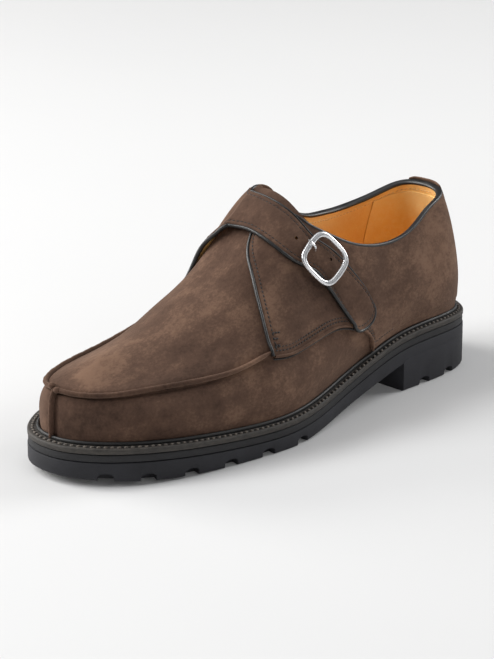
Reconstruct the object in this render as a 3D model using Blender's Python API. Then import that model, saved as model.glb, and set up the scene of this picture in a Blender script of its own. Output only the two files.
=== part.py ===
"""Single monk strap shoe for the left foot, as a shoemaker would put it together.

Frame: metres, +Z up, floor at Z = 0. The toe points to -Y, the heel to +Y and the
buckle side of the foot lies to +X. Tables and named sizes are in millimetres; a mesh
is turned into metres when it is made.

The upper is drawn on a last. The last is a set of ribs that start at the feather line,
where upper and sole meet, and climb to the ridge along the instep. A place on it is
named by two numbers: `along`, from 0 at the toe to 1 at the heel, and `girth`, from 0
at the feather line of the buckle side over 1 at the ridge to 2 at the inner side.
"""

import math

import bmesh
import bpy
import numpy as np
from mathutils import Vector

MM = 0.001
GAP = 0.3                      # clearance between pieces that touch
OVERLAY_LIFT = 0.6             # clearance of the curved overlays, whose flat facets cut inside the curve

# ---------------------------------------------------------------- driving dimensions
LAST_LENGTH = 286.0            # toe point to heel point along the feather line
BALL_WIDTH = 94.0              # feather line across the ball of the foot
INSTEP_HEIGHT = 118.5          # floor to the top of the instep
HEEL_SEAT_HEIGHT = 33.4        # floor to the feather line at the heel
SOLE_THICKNESS = 15.7          # floor to the feather line at the ball
TOE_SPRING = 5.5               # lift of the feather line at the toe
SOLE_TOE_LIFT = 4.6            # lift of the tread at the toe
UPPER_WALL = 1.8               # vamp and lining together
QUARTER_THICKNESS = 1.3
STRAP_THICKNESS = 2.2
WELT_THICKNESS = 3.2
MIDSOLE_THICKNESS = 4.0
INSOLE_THICKNESS = 3.4
LUG_HEIGHT = 4.2
BUCKLE_SIZE = 26.4             # outside of the frame, each way
BUCKLE_WIRE = 2.3

HALF = LAST_LENGTH / 200.0     # one per cent of half the last's length
WIDE = BALL_WIDTH / 100.0      # one per cent of the ball width
TALL = INSTEP_HEIGHT / 100.0   # one per cent of the instep height

# ---------------------------------------------------------------- the last
# feather line: station % of half length, inner edge and outer edge % of ball width
FEATHER = (
    (-100.0, -6.5, -6.5),
    (-99.0, -16.5, 3.2),
    (-95.8, -24.5, 12.5),
    (-89.5, -33.0, 23.0),
    (-79.0, -42.0, 33.5),
    (-65.0, -48.5, 41.5),
    (-49.0, -50.5, 46.5),
    (-33.6, -50.0, 50.0),
    (-17.5, -45.5, 51.5),
    (0.0, -39.5, 47.5),
    (17.5, -34.0, 41.5),
    (35.0, -31.5, 37.5),
    (52.5, -33.5, 35.0),
    (68.5, -35.0, 34.5),
    (82.5, -33.0, 32.5),
    (92.3, -26.5, 26.5),
    (98.0, -16.0, 15.0),
    (100.0, -0.5, -0.5),
)
# feather line height: station %, share of the toe spring, share of the heel rise
FEATHER_RISE = (
    (-101.0, 1.00, 0.00),
    (-87.0, 0.88, 0.00),
    (-70.0, 0.62, 0.00),
    (-49.0, 0.22, 0.00),
    (-21.0, 0.00, 0.00),
    (7.0, 0.00, 0.19),
    (28.0, 0.00, 0.51),
    (52.0, 0.00, 0.90),
    (77.0, 0.00, 1.00),
    (101.0, 0.00, 0.90),
)
# ridge of the instep: station %, height % of the instep height, mm to the inner side
RIDGE = (
    (-77.0, 48.5, 4.4),
    (-56.0, 53.0, 4.4),
    (-38.5, 61.8, 6.5),
    (-21.0, 71.0, 8.0),
    (-3.5, 87.0, 13.5),
    (12.5, 99.3, 17.0),
    (31.5, 100.8, 14.5),
    (52.5, 99.5, 10.0),
    (77.0, 95.5, 4.4),
)
RIDGE_START = -107.0           # station where the ribs of the toe fan in
RIDGE_END = 108.0              # station where the ribs of the heel fan in
FAN_SOFTNESS = 11.0
LEVELS = (0.0, 0.2, 0.42, 0.7, 1.0)   # girth of feather, wall, apron seam, crown, ridge
# side walls, in mm from the feather line:
# station %, wall out, wall up, seam out, seam up, crown % of the climb and of the way to the ridge
OUTER_WALL = (
    (-101, -0.5, 14, -3.4, 25.0, 60, 48),
    (-84, 1.6, 13, -5.6, 24.8, 62, 48),
    (-63, 2.5, 13, -5.8, 27.0, 68, 48),
    (-42, 2.2, 14, -4.8, 31.0, 76, 47),
    (-21, 1.8, 15, -5.2, 37.2, 80, 45),
    (0, 2.2, 18, -5.0, 42.0, 79.5, 42),
    (21, 3.0, 20, -4.5, 47.5, 81.5, 41),
    (42, 3.3, 22, -4.6, 52.0, 86, 42),
    (63, 2.8, 24, -6.6, 55.5, 82, 46),
    (84, 1.8, 24, -7.8, 60.0, 70, 48),
    (101, 1.5, 24, -6.0, 66.0, 60, 48),
)
INNER_WALL = (
    (-101, -0.5, 14, -3.4, 25.0, 60, 48),
    (-84, 1.3, 13, -8.6, 25.6, 62, 48),
    (-63, 2.4, 13, -10.5, 27.2, 66, 48),
    (-42, 2.2, 14, -8.8, 32.5, 72, 48),
    (-21, 2.0, 15, -6.5, 39.0, 81, 46),
    (0, 3.3, 18, -5.0, 43.2, 86, 42),
    (21, 4.4, 20, -4.0, 47.3, 87, 41),
    (42, 4.8, 22, -4.1, 52.0, 87, 42),
    (63, 4.2, 24, -6.1, 55.8, 82, 46),
    (84, 2.6, 24, -8.4, 59.5, 70, 48),
    (101, 1.5, 24, -6.0, 66.0, 60, 48),
)

# ---------------------------------------------------------------- pattern lines
# all of them: station in mm, girth
THROAT = -58.0                 # behind this station the ribs of the upper lean back
TONGUE_FEET = (-24.0, 8.0)     # feet of the ribs that reach the tongue's two corners
TONGUE_DROP = 0.33             # girth below the ridge at which the tongue ends on each side
TOPLINE_OUTER = (
    (20.5, 1.000),
    (20.9, 0.940),
    (20.5, 0.870),
    (20.2, 0.790),
    (20.6, 0.730),
    (23.0, 0.672),
    (27.5, 0.622),
    (36.0, 0.571),
    (45.2, 0.521),
    (55.5, 0.475),
    (66.8, 0.436),
    (79.0, 0.410),
    (92.3, 0.407),
    (104.0, 0.427),
    (114.0, 0.447),
    (128.0, 0.452),
    (143.0, 0.445),
)
TOPLINE_INNER = (
    (20.5, 1.000),
    (21.5, 1.080),
    (24.0, 1.180),
    (29.0, 1.265),
    (36.0, 1.345),
    (46.0, 1.425),
    (57.5, 1.490),
    (65.0, 1.519),
    (75.0, 1.547),
    (86.0, 1.571),
    (100.0, 1.580),
    (113.0, 1.574),
    (127.0, 1.562),
    (143.0, 1.555),
)
# outer quarter: its piped front edge from the bottom corner up, then its lower edge back
QUARTER_FRONT = (
    (-33.5, 0.400),
    (-32.0, 0.487),
    (-29.2, 0.565),
    (-24.5, 0.664),
    (-19.0, 0.754),
    (-15.4, 0.805),
    (-11.3, 0.838),
    (-6.0, 0.858),
    (0.0, 0.866),
)
QUARTER_TOP = (
    (0.0, 0.866),
    (9.0, 0.810),
    (16.0, 0.735),
    (20.5, 0.676),
)
QUARTER_BOTTOM = (
    (-33.5, 0.400),
    (-22.0, 0.370),
    (-9.5, 0.358),
    (4.0, 0.344),
    (17.5, 0.320),
    (29.0, 0.275),
    (41.0, 0.195),
    (48.0, 0.120),
    (52.0, 0.030),
)
# strap with the inner quarter: front edge from the tip over the instep and down
STRAP_FRONT = (
    (31.0, 0.272),
    (26.0, 0.354),
    (21.0, 0.440),
    (12.0, 0.545),
    (1.7, 0.626),
    (-2.3, 0.689),
    (-4.3, 0.772),
    (-4.8, 0.836),
    (-5.3, 0.903),
    (-7.2, 1.000),
    (-9.3, 1.070),
    (-12.2, 1.132),
    (-15.2, 1.190),
    (-19.5, 1.280),
    (-24.0, 1.380),
    (-27.5, 1.480),
    (-29.5, 1.600),
)
STRAP_REAR = (
    (49.0, 0.262),
    (45.5, 0.350),
    (39.5, 0.440),
    (29.0, 0.548),
    (19.0, 0.630),
    (16.5, 0.676),
    (14.7, 0.741),
    (13.5, 0.810),
    (13.0, 0.900),
    (13.1, 1.000),
    (14.2, 1.080),
    (17.0, 1.150),
    (22.0, 1.210),
)
INSTEP_END = 1.42              # girth on the inner topline where the instep becomes the collar
STRAP_TIP_ROUNDING = 0.035     # girth by which the tip bulges past its corners
BUCKLE_PLACE = (18.4, 0.553)   # station and girth of the buckle's middle
BACK_SEAM = 0.9985             # the two quarters meet here at the back of the heel
STRAP_TIP_POWER = 3.0          # 2 would round the tip like an ellipse
STRAP_TOP = OVERLAY_LIFT + QUARTER_THICKNESS + GAP + STRAP_THICKNESS   # above the last
STRAP_RISE = (0.98, 1.14)      # girths between which the quarter thickens into the strap
STRAP_HUMP = 1.3               # rise of the strap where it passes through the buckle
HUMP_REACH = (3.0, 13.0)       # mm from the buckle's middle where the rise fades out
STRAP_CORNERS = 6              # rows of the two strap patterns that face each other
STRAP_MIDDLE = (
    [
        (front[1] + rear[1]) / 2
        for front, rear in zip(STRAP_FRONT[:STRAP_CORNERS], STRAP_REAR[:STRAP_CORNERS])
    ],
    range(STRAP_CORNERS),
)
FRAME_LIFT = 7.6               # middle of the frame above the last
FRAME_SQUARENESS = 3.4         # 2 would be round
BUCKLE_LEAN = (6.5, 4.0)       # degrees that the tip side and the upper side stand off the strap
BUCKLE_TURN = -10.0            # degrees
PRONG_WIRE = 1.4
PRONG_START = -6.5             # where the prong leaves its hole, from the buckle's middle
PRONG_OVERHANG = 1.5

# ---------------------------------------------------------------- sole
# margin of the sole beyond the feather line: station %, mm
SOLE_MARGIN = (
    (-98, 7.0),
    (-35, 6.2),
    (24, 5.8),
    (60, 6.5),
    (90, 6.8),
)
BALL_FLAT_FRONT = -62.0        # the tread is flat on the floor between these stations
BALL_FLAT_REAR = -22.0
TOE_CURVE_LENGTH = 88.0
HEEL_BREAST = 76.0             # station of the heel's front face
WAIST_CURVE = 1.35
INSOLE_INSET = 4.8
WELT_INSET = 4.5

RIM_NOTCHES = (-135, -116.4, -93.5, -69.8, -45.5, -20)   # stations of the notches in the sole's rim
HEEL_NOTCHES = (94, 116)
HEEL_GROOVES = (-16.0, 2.0, 20.0)   # from the middle of the heel block
HEEL_GROOVE_LENGTH = 26.0
CUTTER_FLOOR = -5.0            # the cutters reach down to here
NOTCH_WIDTH = 8.4
NOTCH_DEPTH = 5.5
RING_GROOVE = (15.0, 19.0)     # the groove inside the rim lugs, from the sole's edge
BAR_GROOVES = (-122, -103, -84, -65, -46, -27)   # stations of the grooves between the middle bars
BAR_GROOVE_WIDTH = 4.5
TREAD_REAR = -6.0              # station where the lugs end and the waist begins

# ---------------------------------------------------------------- how finely things are cut
STATIONS = 48                  # steps from toe to heel in the sole pieces
UPPER_STEPS = (15, 9, 6, 20)   # along the upper: toe, instep, beside the tongue, collar
ROWS = 10                      # points up each rib of the upper
STRAP_STEPS = (16, 9, 20)      # along the strap, over the inner side of the instep, to the heel
STRAP_ACROSS = 10
QUARTER_GRID = (32, 9)
FRAME_GRID = (36, 8)


# ================================================================ curves
def cubic(xs, ys):
    """Return the natural cubic spline through a table, as a function held at its ends."""
    xs = np.asarray(xs, float)
    ys = np.asarray(ys, float)
    step = np.diff(xs)
    count = len(xs)
    matrix = np.eye(count)
    right = np.zeros(count)
    for i in range(1, count - 1):
        matrix[i, i - 1:i + 2] = step[i - 1], 2 * (step[i - 1] + step[i]), step[i]
        right[i] = 6 * ((ys[i + 1] - ys[i]) / step[i] - (ys[i] - ys[i - 1]) / step[i - 1])
    bend = np.linalg.solve(matrix, right)

    def value(x):
        x = np.clip(np.asarray(x, float), xs[0], xs[-1])
        i = np.clip(np.searchsorted(xs, x) - 1, 0, count - 2)
        before = xs[i + 1] - x
        after = x - xs[i]
        h = step[i]
        curved = (bend[i] * before ** 3 + bend[i + 1] * after ** 3) / (6 * h)
        straight = (ys[i] / h - bend[i] * h / 6) * before
        return curved + straight + (ys[i + 1] / h - bend[i + 1] * h / 6) * after

    return value


def closed_cubic(points, count):
    """Return `count` points of a smooth closed curve, and the parameter of each given point."""
    points = np.asarray(points, float)
    wrapped = 3
    ring = np.vstack([points[-wrapped:], points, points[:wrapped + 1]])
    knots = np.r_[0, np.cumsum(np.sqrt(np.linalg.norm(np.diff(ring, axis=0), axis=1)))]
    start, end = knots[wrapped], knots[wrapped + len(points)]
    where = np.linspace(start, end, count + 1)
    curve = np.stack([cubic(knots, ring[:, i])(where) for i in range(2)], axis=1)
    return curve, (knots[wrapped:wrapped + len(points)] - start) / (end - start)


def even_steps(points, count):
    """Return `count` points at even distances along a polyline."""
    points = np.asarray(points, float)
    far = np.r_[0, np.cumsum(np.linalg.norm(np.diff(points, axis=0), axis=1))]
    where = np.linspace(0, far[-1], count)
    return np.stack([np.interp(where, far, column) for column in points.T], axis=1)


def soft_clamp(value, low, high, softness):
    """Return value held between low and high with rounded corners."""
    lifted = low + softness * np.logaddexp(0, (value - low) / softness)
    return high - softness * np.logaddexp(0, (high - lifted) / softness)


def smooth_step(value, low, high):
    """Return 0 below low, 1 above high and a smooth climb between."""
    share = np.clip((np.asarray(value, float) - low) / (high - low), 0, 1)
    return share * share * (3 - 2 * share)


def feather_height(y):
    """Return the height of the feather line above the floor at station y."""
    station, spring, rise = np.asarray(FEATHER_RISE).T
    at = y / HALF
    toe = cubic(station, spring)(at) * TOE_SPRING
    heel = cubic(station, rise)(at) * (HEEL_SEAT_HEIGHT - SOLE_THICKNESS)
    return SOLE_THICKNESS + toe + heel


def tread_height(y):
    """Return the height of the sole's underside above the floor at station y."""
    y = np.asarray(y, float)
    toe = SOLE_TOE_LIFT * (np.clip(BALL_FLAT_FRONT - y, 0, None) / TOE_CURVE_LENGTH) ** 2
    waist_rise = feather_height(HEEL_BREAST) - SOLE_THICKNESS
    share = np.clip((y - BALL_FLAT_REAR) / (HEEL_BREAST - BALL_FLAT_REAR), 0, 1)
    waist = waist_rise * share ** WAIST_CURVE
    seat = feather_height(y) - SOLE_THICKNESS
    return toe + np.where(y > HEEL_BREAST, seat, waist)


# ================================================================ the last
class Last:
    """The form that the upper is pulled over, as ribs from the feather line to the ridge."""

    FINE = 721

    def __init__(self):
        table = np.asarray(FEATHER)
        y = table[:, 0] * HALF
        inner = np.stack([table[:, 1] * WIDE, y], axis=1)
        outer = np.stack([table[:, 2] * WIDE, y], axis=1)
        loop = np.vstack([outer, inner[-2:0:-1]])
        curve, knots = closed_cubic(loop, 4 * self.FINE)
        heel = int(round(knots[len(table) - 1] * 4 * self.FINE))
        self.foot = {
            "outer": even_steps(curve[:heel + 1], self.FINE),
            "inner": even_steps(curve[heel:][::-1], self.FINE),
        }
        self.out = {side: self.outward(side) for side in self.foot}
        self.share = np.linspace(0, 1, self.FINE)
        self.station = (self.foot["outer"][:, 1] + self.foot["inner"][:, 1]) / 2
        self.walls = {"outer": self.wall_table(OUTER_WALL), "inner": self.wall_table(INNER_WALL)}
        ridge = np.asarray(RIDGE)
        self.ridge_height = cubic(ridge[:, 0] * HALF, ridge[:, 1] * TALL)
        self.ridge_side = cubic(ridge[:, 0] * HALF, -ridge[:, 2])
        self.matrix = self.rib_matrix()

    def outward(self, side):
        """Return the unit normals of the feather line, away from the foot."""
        along = np.gradient(self.foot[side], axis=0)
        turned = np.stack([along[:, 1], -along[:, 0]], axis=1)
        if side == "inner":
            turned = -turned
        turned[0] = (0, -1)
        turned[-1] = (0, 1)
        return turned / np.linalg.norm(turned, axis=1)[:, None]

    @staticmethod
    def wall_table(rows):
        """Return one spline for each column of a wall table."""
        table = np.asarray(rows, float)
        return [cubic(table[:, 0] * HALF, column) for column in table.T[1:]]

    @staticmethod
    def rib_matrix():
        """Return the inverse of the spline system of a rib: free at its foot, steered at the ridge."""
        step = np.diff(LEVELS)
        count = len(LEVELS)
        matrix = np.zeros((count, count))
        matrix[0, 0] = 1
        for i in range(1, count - 1):
            matrix[i, i - 1:i + 2] = step[i - 1], 2 * (step[i - 1] + step[i]), step[i]
        matrix[-1, -2:] = step[-1], 2 * step[-1]
        return np.linalg.inv(matrix)

    def along_at(self, station):
        """Return the `along` of a station in mm."""
        return np.interp(station, self.station, self.share)

    def levels(self, side, along):
        """Return the five level points of each rib, and its direction at the ridge."""
        foot = np.stack([np.interp(along, self.share, c) for c in self.foot[side].T], axis=1)
        out = np.stack([np.interp(along, self.share, c) for c in self.out[side].T], axis=1)
        out /= np.linalg.norm(out, axis=1)[:, None]
        station = np.interp(along, self.share, self.station)
        ridge_y = soft_clamp(station, RIDGE_START, RIDGE_END, FAN_SOFTNESS)
        ridge = np.stack([self.ridge_side(ridge_y), ridge_y], axis=1)
        top = self.ridge_height(ridge_y)
        base = feather_height(foot[:, 1]) + GAP
        columns = [f(foot[:, 1]) for f in self.walls[side]]
        wall_out, wall_up, seam_out, seam_up, crown_up, crown_in = columns
        points = np.zeros((len(along), 5, 3))
        points[:, 0, :2] = foot
        points[:, 1, :2] = foot + out * wall_out[:, None]
        points[:, 2, :2] = foot + out * seam_out[:, None]
        points[:, 3, :2] = points[:, 2, :2] + (ridge - points[:, 2, :2]) * crown_in[:, None] / 100
        points[:, 4, :2] = ridge
        points[:, 0, 2] = base
        points[:, 1, 2] = base + wall_up
        points[:, 2, 2] = base + seam_up
        points[:, 3, 2] = points[:, 2, 2] + (top - points[:, 2, 2]) * crown_up / 100
        points[:, 4, 2] = top
        slope = self.ridge_height(ridge_y + 0.5) - self.ridge_height(ridge_y - 0.5)
        flat = (ridge - points[:, 3, :2]) / (LEVELS[4] - LEVELS[3]) * 0.95
        arrive = np.column_stack([flat, flat[:, 1] * slope])
        return points, arrive

    def side_point(self, side, along, share):
        """Return points of one side, `share` of the way up their ribs."""
        points, arrive = self.levels(side, along)
        knots = np.asarray(LEVELS)
        step = np.diff(knots)
        right = np.zeros_like(points)
        for i in range(1, len(knots) - 1):
            ahead = (points[:, i + 1] - points[:, i]) / step[i]
            right[:, i] = 6 * (ahead - (points[:, i] - points[:, i - 1]) / step[i - 1])
        right[:, -1] = 6 * (arrive - (points[:, -1] - points[:, -2]) / step[-1])
        bend = np.einsum("ij,njk->nik", self.matrix, right)
        i = np.clip(np.searchsorted(knots, share, side="right") - 1, 0, len(knots) - 2)
        row = np.arange(len(along))
        before = (knots[i + 1] - share)[:, None]
        after = (share - knots[i])[:, None]
        h = step[i][:, None]
        curved = (bend[row, i] * before ** 3 + bend[row, i + 1] * after ** 3) / (6 * h)
        lower = (points[row, i] / h - bend[row, i] * h / 6) * before
        return curved + lower + (points[row, i + 1] / h - bend[row, i + 1] * h / 6) * after

    def point(self, along, girth):
        """Return points of the last's surface in mm."""
        along, girth = np.broadcast_arrays(np.asarray(along, float), np.asarray(girth, float))
        a = np.clip(along.ravel(), 0, 1)
        g = girth.ravel()
        outer = self.side_point("outer", a, np.clip(g, 0, 1))
        inner = self.side_point("inner", a, np.clip(2 - g, 0, 1))
        return np.where(g[:, None] <= 1, outer, inner).reshape(along.shape + (3,))

    def normal(self, along, girth):
        """Return the outward unit normals of the surface."""
        d = 0.004
        along = np.clip(np.asarray(along, float), d, 1 - d)
        lengthwise = self.point(along + d, girth) - self.point(along - d, girth)
        low = np.clip(np.asarray(girth, float) - d, 0, 2)
        high = np.clip(np.asarray(girth, float) + d, 0, 2)
        upward = self.point(along, high) - self.point(along, low)
        cross = np.cross(lengthwise, upward)
        return cross / np.linalg.norm(cross, axis=-1)[..., None]

    def skin(self, along, girth, lift):
        """Return points that lie `lift` mm outside the surface."""
        lift = np.asarray(lift, float)
        return self.point(along, girth) + self.normal(along, girth) * lift[..., None]


LAST = Last()


# ================================================================ mesh helpers
def new_object(name, points_mm, faces, material, smooth_angle=40.0):
    """Make an object from points in mm and faces, with outward normals and soft shading."""
    shell = bmesh.new()
    verts = [shell.verts.new(Vector(p) * MM) for p in np.asarray(points_mm, float)]
    for face in faces:
        corners = []
        for index in face:
            if verts[index] not in corners:
                corners.append(verts[index])
        if len(corners) > 2:
            shell.faces.new(corners)
    bmesh.ops.remove_doubles(shell, verts=shell.verts, dist=0.01 * MM)
    bmesh.ops.triangulate(shell, faces=shell.faces)
    bmesh.ops.recalc_face_normals(shell, faces=shell.faces)
    mesh = bpy.data.meshes.new(name)
    shell.to_mesh(mesh)
    shell.free()
    mesh.shade_smooth()
    mesh.set_sharp_from_angle(angle=math.radians(smooth_angle))
    mesh.materials.append(material)
    piece = bpy.data.objects.new(name, mesh)
    bpy.context.scene.collection.objects.link(piece)
    return piece


def new_material(name, colour, roughness, metallic=0.0):
    """Make a plain Principled material."""
    material = bpy.data.materials.new(name)
    material.use_nodes = True
    shader = material.node_tree.nodes["Principled BSDF"]
    shader.inputs["Base Color"].default_value = (*colour, 1.0)
    shader.inputs["Roughness"].default_value = roughness
    shader.inputs["Metallic"].default_value = metallic
    return material


def open_sheet(name, grid, material):
    """Make an open surface from a grid of points."""
    rows, columns = grid.shape[:2]
    faces = []
    for i in range(rows - 1):
        for j in range(columns - 1):
            corner = i * columns + j
            faces.append([corner, corner + columns, corner + columns + 1, corner + 1])
    return new_object(name, grid.reshape(-1, 3), faces, material)


def sheet_solid(name, low, high, material):
    """Make one closed solid between two grids of points with the same layout."""
    rows, columns = low.shape[:2]
    points = np.concatenate([low.reshape(-1, 3), high.reshape(-1, 3)])

    def index(layer, i, j):
        return layer * rows * columns + i * columns + j

    faces = []
    for i in range(rows - 1):
        for j in range(columns - 1):
            ring = ((i, j), (i + 1, j), (i + 1, j + 1), (i, j + 1))
            faces.append([index(0, *k) for k in ring])
            faces.append([index(1, *k) for k in reversed(ring)])
    edge = [(i, 0) for i in range(rows)]
    edge += [(rows - 1, j) for j in range(1, columns)]
    edge += [(i, columns - 1) for i in range(rows - 2, -1, -1)]
    edge += [(0, j) for j in range(columns - 2, 0, -1)]
    for here, there in zip(edge, edge[1:] + edge[:1]):
        faces.append([index(0, *there), index(0, *here), index(1, *here), index(1, *there)])
    return new_object(name, points, faces, material)


def pattern(rows, count):
    """Return `count` (along, girth) places, evenly spread, on the smooth line of a pattern table."""
    table = np.asarray(rows, float)
    along = LAST.along_at(table[:, 0])
    places = np.stack([along, table[:, 1]], axis=1)
    metric = places * (LAST_LENGTH, INSTEP_HEIGHT)
    far = np.r_[0, np.cumsum(np.linalg.norm(np.diff(metric, axis=0), axis=1))]
    fine = np.linspace(0, far[-1], 40 * len(table))
    line = np.stack([cubic(far, column)(fine) for column in metric.T], axis=1)
    return even_steps(line, count) / (LAST_LENGTH, INSTEP_HEIGHT)


def joined(*lines, count):
    """Return `count` even places along pattern lines laid end to end."""
    metric = np.vstack(lines) * (LAST_LENGTH, INSTEP_HEIGHT)
    return even_steps(metric, count) / (LAST_LENGTH, INSTEP_HEIGHT)


def in_sections(*sections):
    """Return places along (line, steps) sections laid end to end, evenly spread in each."""
    parts = [joined(line, count=steps + 1) for line, steps in sections]
    return np.vstack([parts[0]] + [part[1:] for part in parts[1:]])


def fill(start, end, near, far):
    """Return the grid of places between four edges.

    `near` and `far` run from `start` to `end`; `start` and `end` run from near to far.
    """
    i = np.linspace(0, 1, len(near))[:, None, None]
    j = np.linspace(0, 1, len(start))[None, :, None]
    lengthwise = near[:, None] * (1 - j) + far[:, None] * j
    across = start[None] * (1 - i) + end[None] * i
    corners = (near[0] * (1 - j) + far[0] * j) * (1 - i) + (near[-1] * (1 - j) + far[-1] * j) * i
    return lengthwise + across - corners


# ================================================================ sole pieces
def sole_edge(side, margin):
    """Return the outline of one side of the sole, `margin` mm beyond its normal margin."""
    table = np.asarray(SOLE_MARGIN, float)
    line = LAST.foot[side]
    wide = cubic(table[:, 0] * HALF, table[:, 1])(line[:, 1]) + margin
    return line + LAST.out[side] * wide[:, None]


def inset_edge(side, inset):
    """Return the feather line of one side, drawn in by `inset` mm."""
    return LAST.foot[side] - LAST.out[side] * inset


def slab(name, outer, inner, low, high, material):
    """Make a solid between two heights, inside the outline of an outer and an inner edge.

    Both edges run from toe to heel with the same number of points, and `low` and `high`
    give the height at a station.
    """
    points = [(x, y, height(y)) for height in (low, high) for edge in (outer, inner) for x, y in edge]
    count = len(outer)

    def index(top, side, k):
        return (2 * top + side) * count + k

    faces = []
    for k in range(count - 1):
        for top in (0, 1):
            corners = ((0, k), (0, k + 1), (1, k + 1), (1, k))
            faces.append([index(top, side, step) for side, step in corners])
        for side in (0, 1):
            corners = ((0, k), (0, k + 1), (1, k + 1), (1, k))
            faces.append([index(top, side, step) for top, step in corners])
    for k in (0, count - 1):
        faces.append([index(0, 0, k), index(0, 1, k), index(1, 1, k), index(1, 0, k)])
    return new_object(name, points, faces, material)


def band(outside, inside, low, high, closed):
    """Return the points and faces of an upright band between two lines in the floor plane."""
    points = [(x, y, height(y)) for height in (low, high) for line in (outside, inside) for x, y in line]
    count = len(outside)

    def index(top, side, k):
        return (2 * top + side) * count + k % count

    faces = []
    for k in range(count if closed else count - 1):
        for top in (0, 1):
            corners = ((0, k), (0, k + 1), (1, k + 1), (1, k))
            faces.append([index(top, side, step) for side, step in corners])
        for side in (0, 1):
            corners = ((0, k), (0, k + 1), (1, k + 1), (1, k))
            faces.append([index(top, side, step) for top, step in corners])
    if not closed:
        for k in (0, count - 1):
            faces.append([index(0, 0, k), index(0, 1, k), index(1, 1, k), index(1, 0, k)])
    return points, faces


def box_at(centre, direction, length, width, low, high):
    """Return the corner points and faces of an upright box."""
    forward = np.asarray(direction, float) / np.linalg.norm(direction)
    sideways = np.array([-forward[1], forward[0]])
    points = []
    for z in (low, high):
        for a, b in ((-1, -1), (1, -1), (1, 1), (-1, 1)):
            spot = np.asarray(centre) + forward * a * length / 2 + sideways * b * width / 2
            points.append((*spot, z))
    faces = [(0, 1, 2, 3), (4, 5, 6, 7), (0, 1, 5, 4), (1, 2, 6, 5), (2, 3, 7, 6), (3, 0, 4, 7)]
    return points, faces


def gather(name, solids, material):
    """Make one object from several separate closed solids."""
    points = []
    faces = []
    for more_points, more_faces in solids:
        faces += [[index + len(points) for index in face] for face in more_faces]
        points += list(more_points)
    return new_object(name, points, faces, material)


def cut(piece, cutter):
    """Subtract a cutter from a piece with an exact Boolean."""
    cutter.hide_render = True
    cutter.display_type = "WIRE"
    modifier = piece.modifiers.new(cutter.name, "BOOLEAN")
    modifier.operation = "DIFFERENCE"
    modifier.solver = "EXACT"
    modifier.object = cutter


def every_station(line):
    """Return the points of a fine toe-to-heel line that the sole pieces use."""
    return even_steps(line, STATIONS + 1)


def around(outer, inner):
    """Return one loop from an outer and an inner toe-to-heel line."""
    return np.vstack([outer, inner[-2:0:-1]])


def edge_frame(side, station):
    """Return the point of the sole's edge at a station and the direction into the sole."""
    line = sole_edge(side, 0.0)
    k = int(np.argmin(np.abs(line[:, 1] - station)))
    return line[k], -LAST.out[side][k]


def rim_notches(stations, height, depth):
    """Return the cutting boxes of the notches on both sides of a rim."""
    solids = []
    for station in stations:
        for side in ("outer", "inner"):
            edge, inward = edge_frame(side, station)
            centre = edge + inward * (depth / 2 - 1.0)
            top = height(station)
            solids.append(box_at(centre, inward, depth + 2.0, NOTCH_WIDTH, CUTTER_FLOOR, top))
    return solids


def lug_floor(y):
    """Return the height of the floor of the grooves between the lugs."""
    return tread_height(y) + LUG_HEIGHT


def below_tread(y):
    """Return a height safely under the tread."""
    return tread_height(y) - 3.0


def outsole(rubber):
    """Lugged rubber sole from toe to heel, with a plain waist."""
    under_midsole = WELT_THICKNESS + MIDSOLE_THICKNESS + 2 * GAP
    piece = slab(
        "outsole",
        every_station(sole_edge("outer", 0.0)),
        every_station(sole_edge("inner", 0.0)),
        tread_height,
        lambda y: feather_height(y) - under_midsole,
        rubber,
    )
    rims = []
    for inset in RING_GROOVE:
        arms = []
        for side in ("inner", "outer"):
            line = sole_edge(side, -inset)
            arms.append(even_steps(line[line[:, 1] < TREAD_REAR], 20))
        rims.append(np.vstack([arms[0][::-1], arms[1][1:]]))
    ring = band(rims[0], rims[1], below_tread, lug_floor, closed=False)
    cut(piece, gather("ring_groove_cutter", [ring], rubber))
    cut(piece, gather("rim_notch_cutter", rim_notches(RIM_NOTCHES, lug_floor, NOTCH_DEPTH), rubber))
    bars = []
    for station in (*BAR_GROOVES, TREAD_REAR):
        left, _ = edge_frame("inner", station)
        right, _ = edge_frame("outer", station)
        centre = (left + right) / 2
        length = np.linalg.norm(right - left) - 2 * RING_GROOVE[0] - 1.0
        top = lug_floor(station)
        bars.append(box_at(centre, right - left, length, BAR_GROOVE_WIDTH, CUTTER_FLOOR, top))
    cut(piece, gather("bar_groove_cutter", bars, rubber))
    return piece


def heel(rubber):
    """Heel block with its lugged top piece, from the breast to the back."""
    edges = []
    for side in ("outer", "inner"):
        line = sole_edge(side, 0.0)
        edges.append(even_steps(line[line[:, 1] >= HEEL_BREAST], STATIONS // 2))
        edges[-1][0, 1] = HEEL_BREAST
    piece = slab("heel", *edges, lambda y: 0.0 * y, lambda y: tread_height(y) - GAP, rubber)
    notches = rim_notches(HEEL_NOTCHES, lambda y: LUG_HEIGHT, NOTCH_DEPTH)
    middle = (HEEL_BREAST + HALF * 100) / 2
    for offset in HEEL_GROOVES:
        centre = (0.0, middle + offset)
        size = (HEEL_GROOVE_LENGTH, BAR_GROOVE_WIDTH)
        notches.append(box_at(centre, (1, 0), *size, CUTTER_FLOOR, LUG_HEIGHT))
    cut(piece, gather("heel_notch_cutter", notches, rubber))
    return piece


def midsole(leather):
    """Flat layer between outsole and welt."""
    return slab(
        "midsole",
        every_station(sole_edge("outer", -0.3)),
        every_station(sole_edge("inner", -0.3)),
        lambda y: feather_height(y) - WELT_THICKNESS - GAP - MIDSOLE_THICKNESS,
        lambda y: feather_height(y) - WELT_THICKNESS - GAP,
        leather,
    )


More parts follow.
